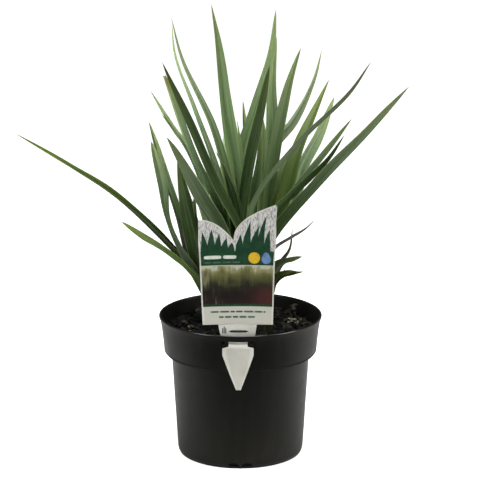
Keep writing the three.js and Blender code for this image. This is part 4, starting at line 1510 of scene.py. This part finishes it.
SHOOTS: dict[str, Shoot] = {
    "shoot_left": Shoot((-16, 0), (
        Leaf(((-17, -1, 108), (-36, -6, 157), (-59, -8, 185), (-105, -14, 231), (-146, -20, 260),
             (-189, -25, 288)), 14, 30, -95, 45, 0.95, Tone.OLIVE, 0.45, 0.33, 0.4),
        Leaf(((-16, -2, 108), (-35, -13, 153), (-58, -23, 181), (-82, -32, 200), (-100, -42, 216)), 8, 10,
             100, 65, 0.3, Tone.OLIVE, 1.7, 1.6, 0.25),
        Leaf(((-16, 1, 108), (-36, -6, 155), (-50, -10, 181), (-62, -15, 210), (-67, -21, 246),
             (-75, -28, 282)), 22.5, 60, -110, 75, 0.5, Tone.SILVER, 0.9, 3.0, -0.2),
        Leaf(((-15, 2, 108), (-42, 1, 166), (-53, 3, 207), (-62, 4, 236), (-78, 6, 292)), 16, 25, -80, 55,
             0.6, Tone.GLAUCOUS, 0.4, 1.35, 0.35),
        Leaf(((-15, -1, 108), (-31, -9, 165), (-41, -16, 205), (-47, -23, 235), (-53, -30, 267)), 22, 105, 40,
             70, 0.65, Tone.DEEP, 2.0, 1.45, 0.1),
        Leaf(((-15, 0, 108), (-32, -6, 166), (-39, -10, 199), (-39, -16, 232)), 15, 105, 20, 60, 0.55,
             Tone.GLAUCOUS, 3.0, 3.0),
        Leaf(((-16, 1, 108), (-31, -11, 156), (-38, -18, 188), (-43, -19, 205)), 8, -32, 0, 56, 0.7,
             Tone.GREEN, 0.52, 0.52),
        Leaf(((-16, -2, 108), (-30, -13, 148), (-38, -22, 164), (-44, -24, 174)), 8, -20, 0, 50, 0.7,
             Tone.GREEN, 0.35, 0.35),
    )),
    "shoot_front_left": Shoot((-8, -13), (
        Leaf(((-8, -13, 108), (-9, -22, 165), (-19, -31, 206), (-34, -36, 233), (-61.5, -48, 290)), 21, 100,
             -55, 50, 0.35, Tone.SILVER, 1.05, 1.3, 0.15),
        Leaf(((-8, -11, 108), (-22, -5, 198), (-41, 4, 265), (-55, 7, 283), (-77, 14, 317.5)), 17, 0, 10, 52,
             0.35, Tone.SILVER, 3.0, 3.0, 0.25),
        Leaf(((-8, -12, 108), (-22.5, -2, 200), (-43, 6, 262), (-68, 8, 299)), 13, -15, 5, 55, 0.55,
             Tone.SILVER, 1.4, 1.4),
        Leaf(((-7, -14, 108), (2.5, -19, 162), (3, -24, 199), (-20.5, -34, 252), (-41, -45, 303),
             (-64.5, -56, 355)), 14.5, 136, 10, 50, 0.35, Tone.DEEP, 1.0, 0.85, -0.3),
        Leaf(((-8, -12, 108), (-11, -16, 173), (-21, -20, 226), (-38, -23, 262), (-64, -30, 338)), 15, -28, 5,
             63, 0.3, Tone.GLAUCOUS, 1.5, 0.88, -0.15, 0.05),
        Leaf(((-7, -12, 108), (-9, -13, 190), (-20, -13, 251), (-39, -12, 307), (-55, -12, 353),
             (-57.5, -12, 380)), 22.5, -36, 50, 65, 0.9, Tone.SILVER, 4.6, 0.8, 0.1),
        Leaf(((-6, -13, 108), (-5, -16, 182), (-10, -20, 236), (-23, -23, 291), (-48.5, -28, 350),
             (-57.5, -32, 388.5)), 17, -60, 42, 60, 0.95, Tone.GLAUCOUS, 0.62, 0.48, 0.55),
        Leaf(((-6, -14, 108), (1, -18, 190), (-3, -20, 231), (-11, -23, 253), (-21, -24, 273)), 9, 120, 0, 60,
             0.7, Tone.DEEP, 1.0, 0.68),
    )),
    "shoot_centre": Shoot((0, 4), (
        Leaf(((0, 4, 108), (3, 2, 177), (-3, -1, 242), (-12, -3, 299), (-18, -5, 351), (-24.5, -8, 395)), 19,
             -68, 45, 70, 0.4, Tone.GREEN, 0.88, 1.05, -0.38),
        Leaf(((0, 5, 108), (4, 8, 200), (5, 10, 254), (2, 14, 309)), 16.5, -45, 5, 62, 0.65, Tone.GREEN, 0.5,
             1.2),
        Leaf(((0, 3, 108), (3.5, -2, 200), (1, -4, 262), (-3, -6, 297)), 8.5, -58, 5, 60, 0.8, Tone.GREEN,
             0.68, 0.75),
        Leaf(((1, 5, 108), (-0.5, 7, 184), (-0.5, 7, 256), (13, 8, 303), (26, 10, 349), (30, 12, 387)), 11.5,
             -120, 25, 65, 0.45, Tone.GREEN, 1.25, 1.15, -0.2),
        Leaf(((0, 3, 108), (1, -3, 170), (1, -8, 215), (7, -13, 260), (16, -18, 303), (24.5, -22, 346)), 11.5,
             67, 0, 60, 0.35, Tone.DEEP, 1.18, 0.98, -0.3),
        Leaf(((1, 4, 108), (6.5, 5, 200), (16, 3, 258), (17, 0, 286)), 11, -92, 5, 60, 0.55, Tone.DEEP, 0.53,
             0.76),
    )),
    "shoot_right": Shoot((14, -6), (
        Leaf(((13, -7, 108), (7, -17, 173), (12, -23, 227), (51, -33, 283), (91, -42, 325.5),
             (108, -52, 354.5)), 9.5, 150, -25, 55, 0.35, Tone.SMOKY, 2.1, 2.1, -0.35),
        Leaf(((13, -5, 108), (14, -6, 160), (21, -8, 201), (34, -8, 219.5), (75, -8, 271), (94.5, -8, 297.5)),
             14.5, 160, -12, 52, 0.3, Tone.GLAUCOUS, 1.8, 1.8),
        Leaf(((13, -6, 108), (17, -10, 165), (28, -15, 216), (46, -19, 236), (72.5, -24, 264),
             (87.5, -30, 288)), 18, 158, 7, 50, 0.4, Tone.GREEN, 2.45, 2.45, -0.5),
        Leaf(((14, -6, 108), (16.5, -13, 161), (27, -18, 195), (67, -26, 247), (107, -35, 292.5),
             (140, -44, 332)), 19, 129, 22, 45, 0.4, Tone.GREEN, 1.05, 1.05, 0.65),
    )),
    "shoot_young": Shoot((23.5, -15), (
        Leaf(((23.5, -15, 108), (25, -20, 151), (27, -25, 185), (43, -23, 197), (55.5, -19, 204),
             (64.5, -20, 213.5)), 7, 127, -20, 50, 0.8, Tone.PLUM, 1.35, 1.35),
        Leaf(((23.5, -14, 108), (26, -15, 149), (34, -13, 171), (42, -13, 184), (44.5, -12, 203)), 11.5, 196,
             -10, 55, 0.75, Tone.SMOKY, 0.2, 0.4, 0.4),
        Leaf(((23.5, -16, 108), (26, -24, 158), (33, -29, 175), (43, -31, 179.5), (52.5, -32, 183)), 14.5,
             110, -18, 57, 0.5, Tone.GREEN, 1.5, 0.9),
        Leaf(((24.5, -16, 108), (23.5, -29, 152), (33, -36, 166.5), (42.5, -39, 170.5), (54, -40, 172)), 12,
             95, -20, 56, 0.6, Tone.OLIVE, 0.45, 0.43),
        Leaf(((23.5, -16, 108), (27, -23, 148), (33, -28, 163), (39, -31, 173)), 6, 120, 0, 55, 0.9,
             Tone.OLIVE, 0.5, 0.5),
    ), Slot.YOUNG, 0.14),
    "shoot_back_right": Shoot((13, 16), (
        Leaf(((12, 17, 108), (20, 21, 201), (28, 27, 273), (27.5, 32, 317), (31, 38, 359.5)), 17, -110, -12,
             63, 0.6, Tone.GREEN, 1.42, 1.05, -0.15),
        Leaf(((14, 16, 108), (22, 17, 200), (29, 18, 257.5), (35, 19, 289), (42, 21, 321.5),
             (51.5, 22, 352.5)), 17, -124, -15, 66, 0.45, Tone.GREEN, 0.9, 0.62, 0.15),
        Leaf(((12, 17, 108), (17, 24, 200), (25.5, 30, 262), (45, 35, 286), (62.5, 39, 321), (70, 44, 347)),
             19, -122, 90, 60, 0.85, Tone.SILVER, 0.95, 0.62, 0.4),
        Leaf(((14, 15, 108), (26, 12, 183), (39, 11, 227), (50, 10, 266.5), (63, 9, 298.5), (75.5, 8, 328)),
             24, -126, -25, 66, 0.7, Tone.WARM, 0.7, 0.46, 0.35),
        Leaf(((15, 18, 108), (27, 24, 184), (48, 28, 223), (54, 32, 246), (67.5, 36, 272), (81, 40, 306.5)),
             11, -108, 10, 70, 0.3, Tone.GLAUCOUS, 1.26, 1.32),
        Leaf(((12, 19, 108), (16, 25, 190), (20, 25, 250), (20, 24, 276), (18, 24, 296)), 16, -100, 0, 64,
             0.7, Tone.GREEN, 1.29, 1.28),
        Leaf(((14, 17, 108), (22, 22, 180), (29.5, 26, 217), (37.5, 26, 241), (49, 26, 267)), 16, -144, 20,
             65, 0.3, Tone.GREEN, 1.7, 1.7),
    )),
    "shoot_back_left": Shoot((-16, 15), (
        Leaf(((-16, 15, 108), (-22, 30, 170), (-33, 49, 204), (-44, 62, 222)), 13, -60, 0, 62, 0.5,
             Tone.GREEN),
        Leaf(((-16, 16, 108), (-20, 34, 165), (-28, 66, 194), (-38, 100, 205)), 13, -75, 0, 60, 0.6,
             Tone.WARM),
        Leaf(((-17, 15, 108), (-26, 30, 150), (-38, 55, 176), (-52, 84, 186)), 12, -60, 0, 60, 0.6,
             Tone.GREEN),
        Leaf(((-15, 15, 108), (-18, 30, 175), (-22, 52, 214), (-30, 88, 236)), 14, -80, 0, 62, 0.6,
             Tone.GLAUCOUS),
        Leaf(((-16, 14, 108), (-14, 24, 190), (-12, 40, 255), (-10, 60, 294)), 14, -85, 0, 64, 0.5,
             Tone.SILVER, 2.4, 2.4),
    )),
    "shoot_back": Shoot((-1, 22), (
        Leaf(((-1, 22, 108), (-4, 42, 190), (-8, 68, 238), (-12, 104, 262)), 14, -90, 0, 64, 0.6, Tone.GREEN),
        Leaf(((0, 22, 108), (3, 40, 195), (6, 62, 250), (8, 96, 285)), 13, -95, 0, 64, 0.6, Tone.GLAUCOUS),
        Leaf(((-1, 23, 108), (0, 52, 165), (2, 92, 200), (4, 128, 215)), 13, -90, 0, 60, 0.6, Tone.WARM),
        Leaf(((0, 23, 108), (9, 46, 178), (18, 66, 222), (26, 84, 250)), 13, -110, 0, 62, 0.6, Tone.GREEN),
        Leaf(((0, 24, 108), (10, 50, 160), (20, 82, 194), (30, 112, 210)), 12, -105, 0, 60, 0.7, Tone.OLIVE),
        Leaf(((1, 22, 108), (18, 48, 159), (36, 74, 195), (57.5, 95, 214.5)), 12.5, -112, 7, 60, 0.35,
             Tone.GREEN),
    )),
}


def main() -> None:
    """Builds the plant piece by piece and then its studio."""
    logging.basicConfig(level=logging.INFO, format="%(name)s %(message)s")
    NurseryPot().build(PotFinish().build())
    PottingMix().build(BarkFinish().build())
    tag = PlantTag()
    tag.build_sheet(CardFinish().build())
    TagPrint(tag).build()
    leaf = LeafFinish("leaf_glaucous").build()
    young = LeafFinish("leaf_young", body=srgb("5f6d4c"), bloom=srgb("858f78")).build()
    for name, shoot in SHOOTS.items():
        shoot.build(name, young if shoot.slot is Slot.YOUNG else leaf)
    Studio().build()


if __name__ == "__main__":
    main()
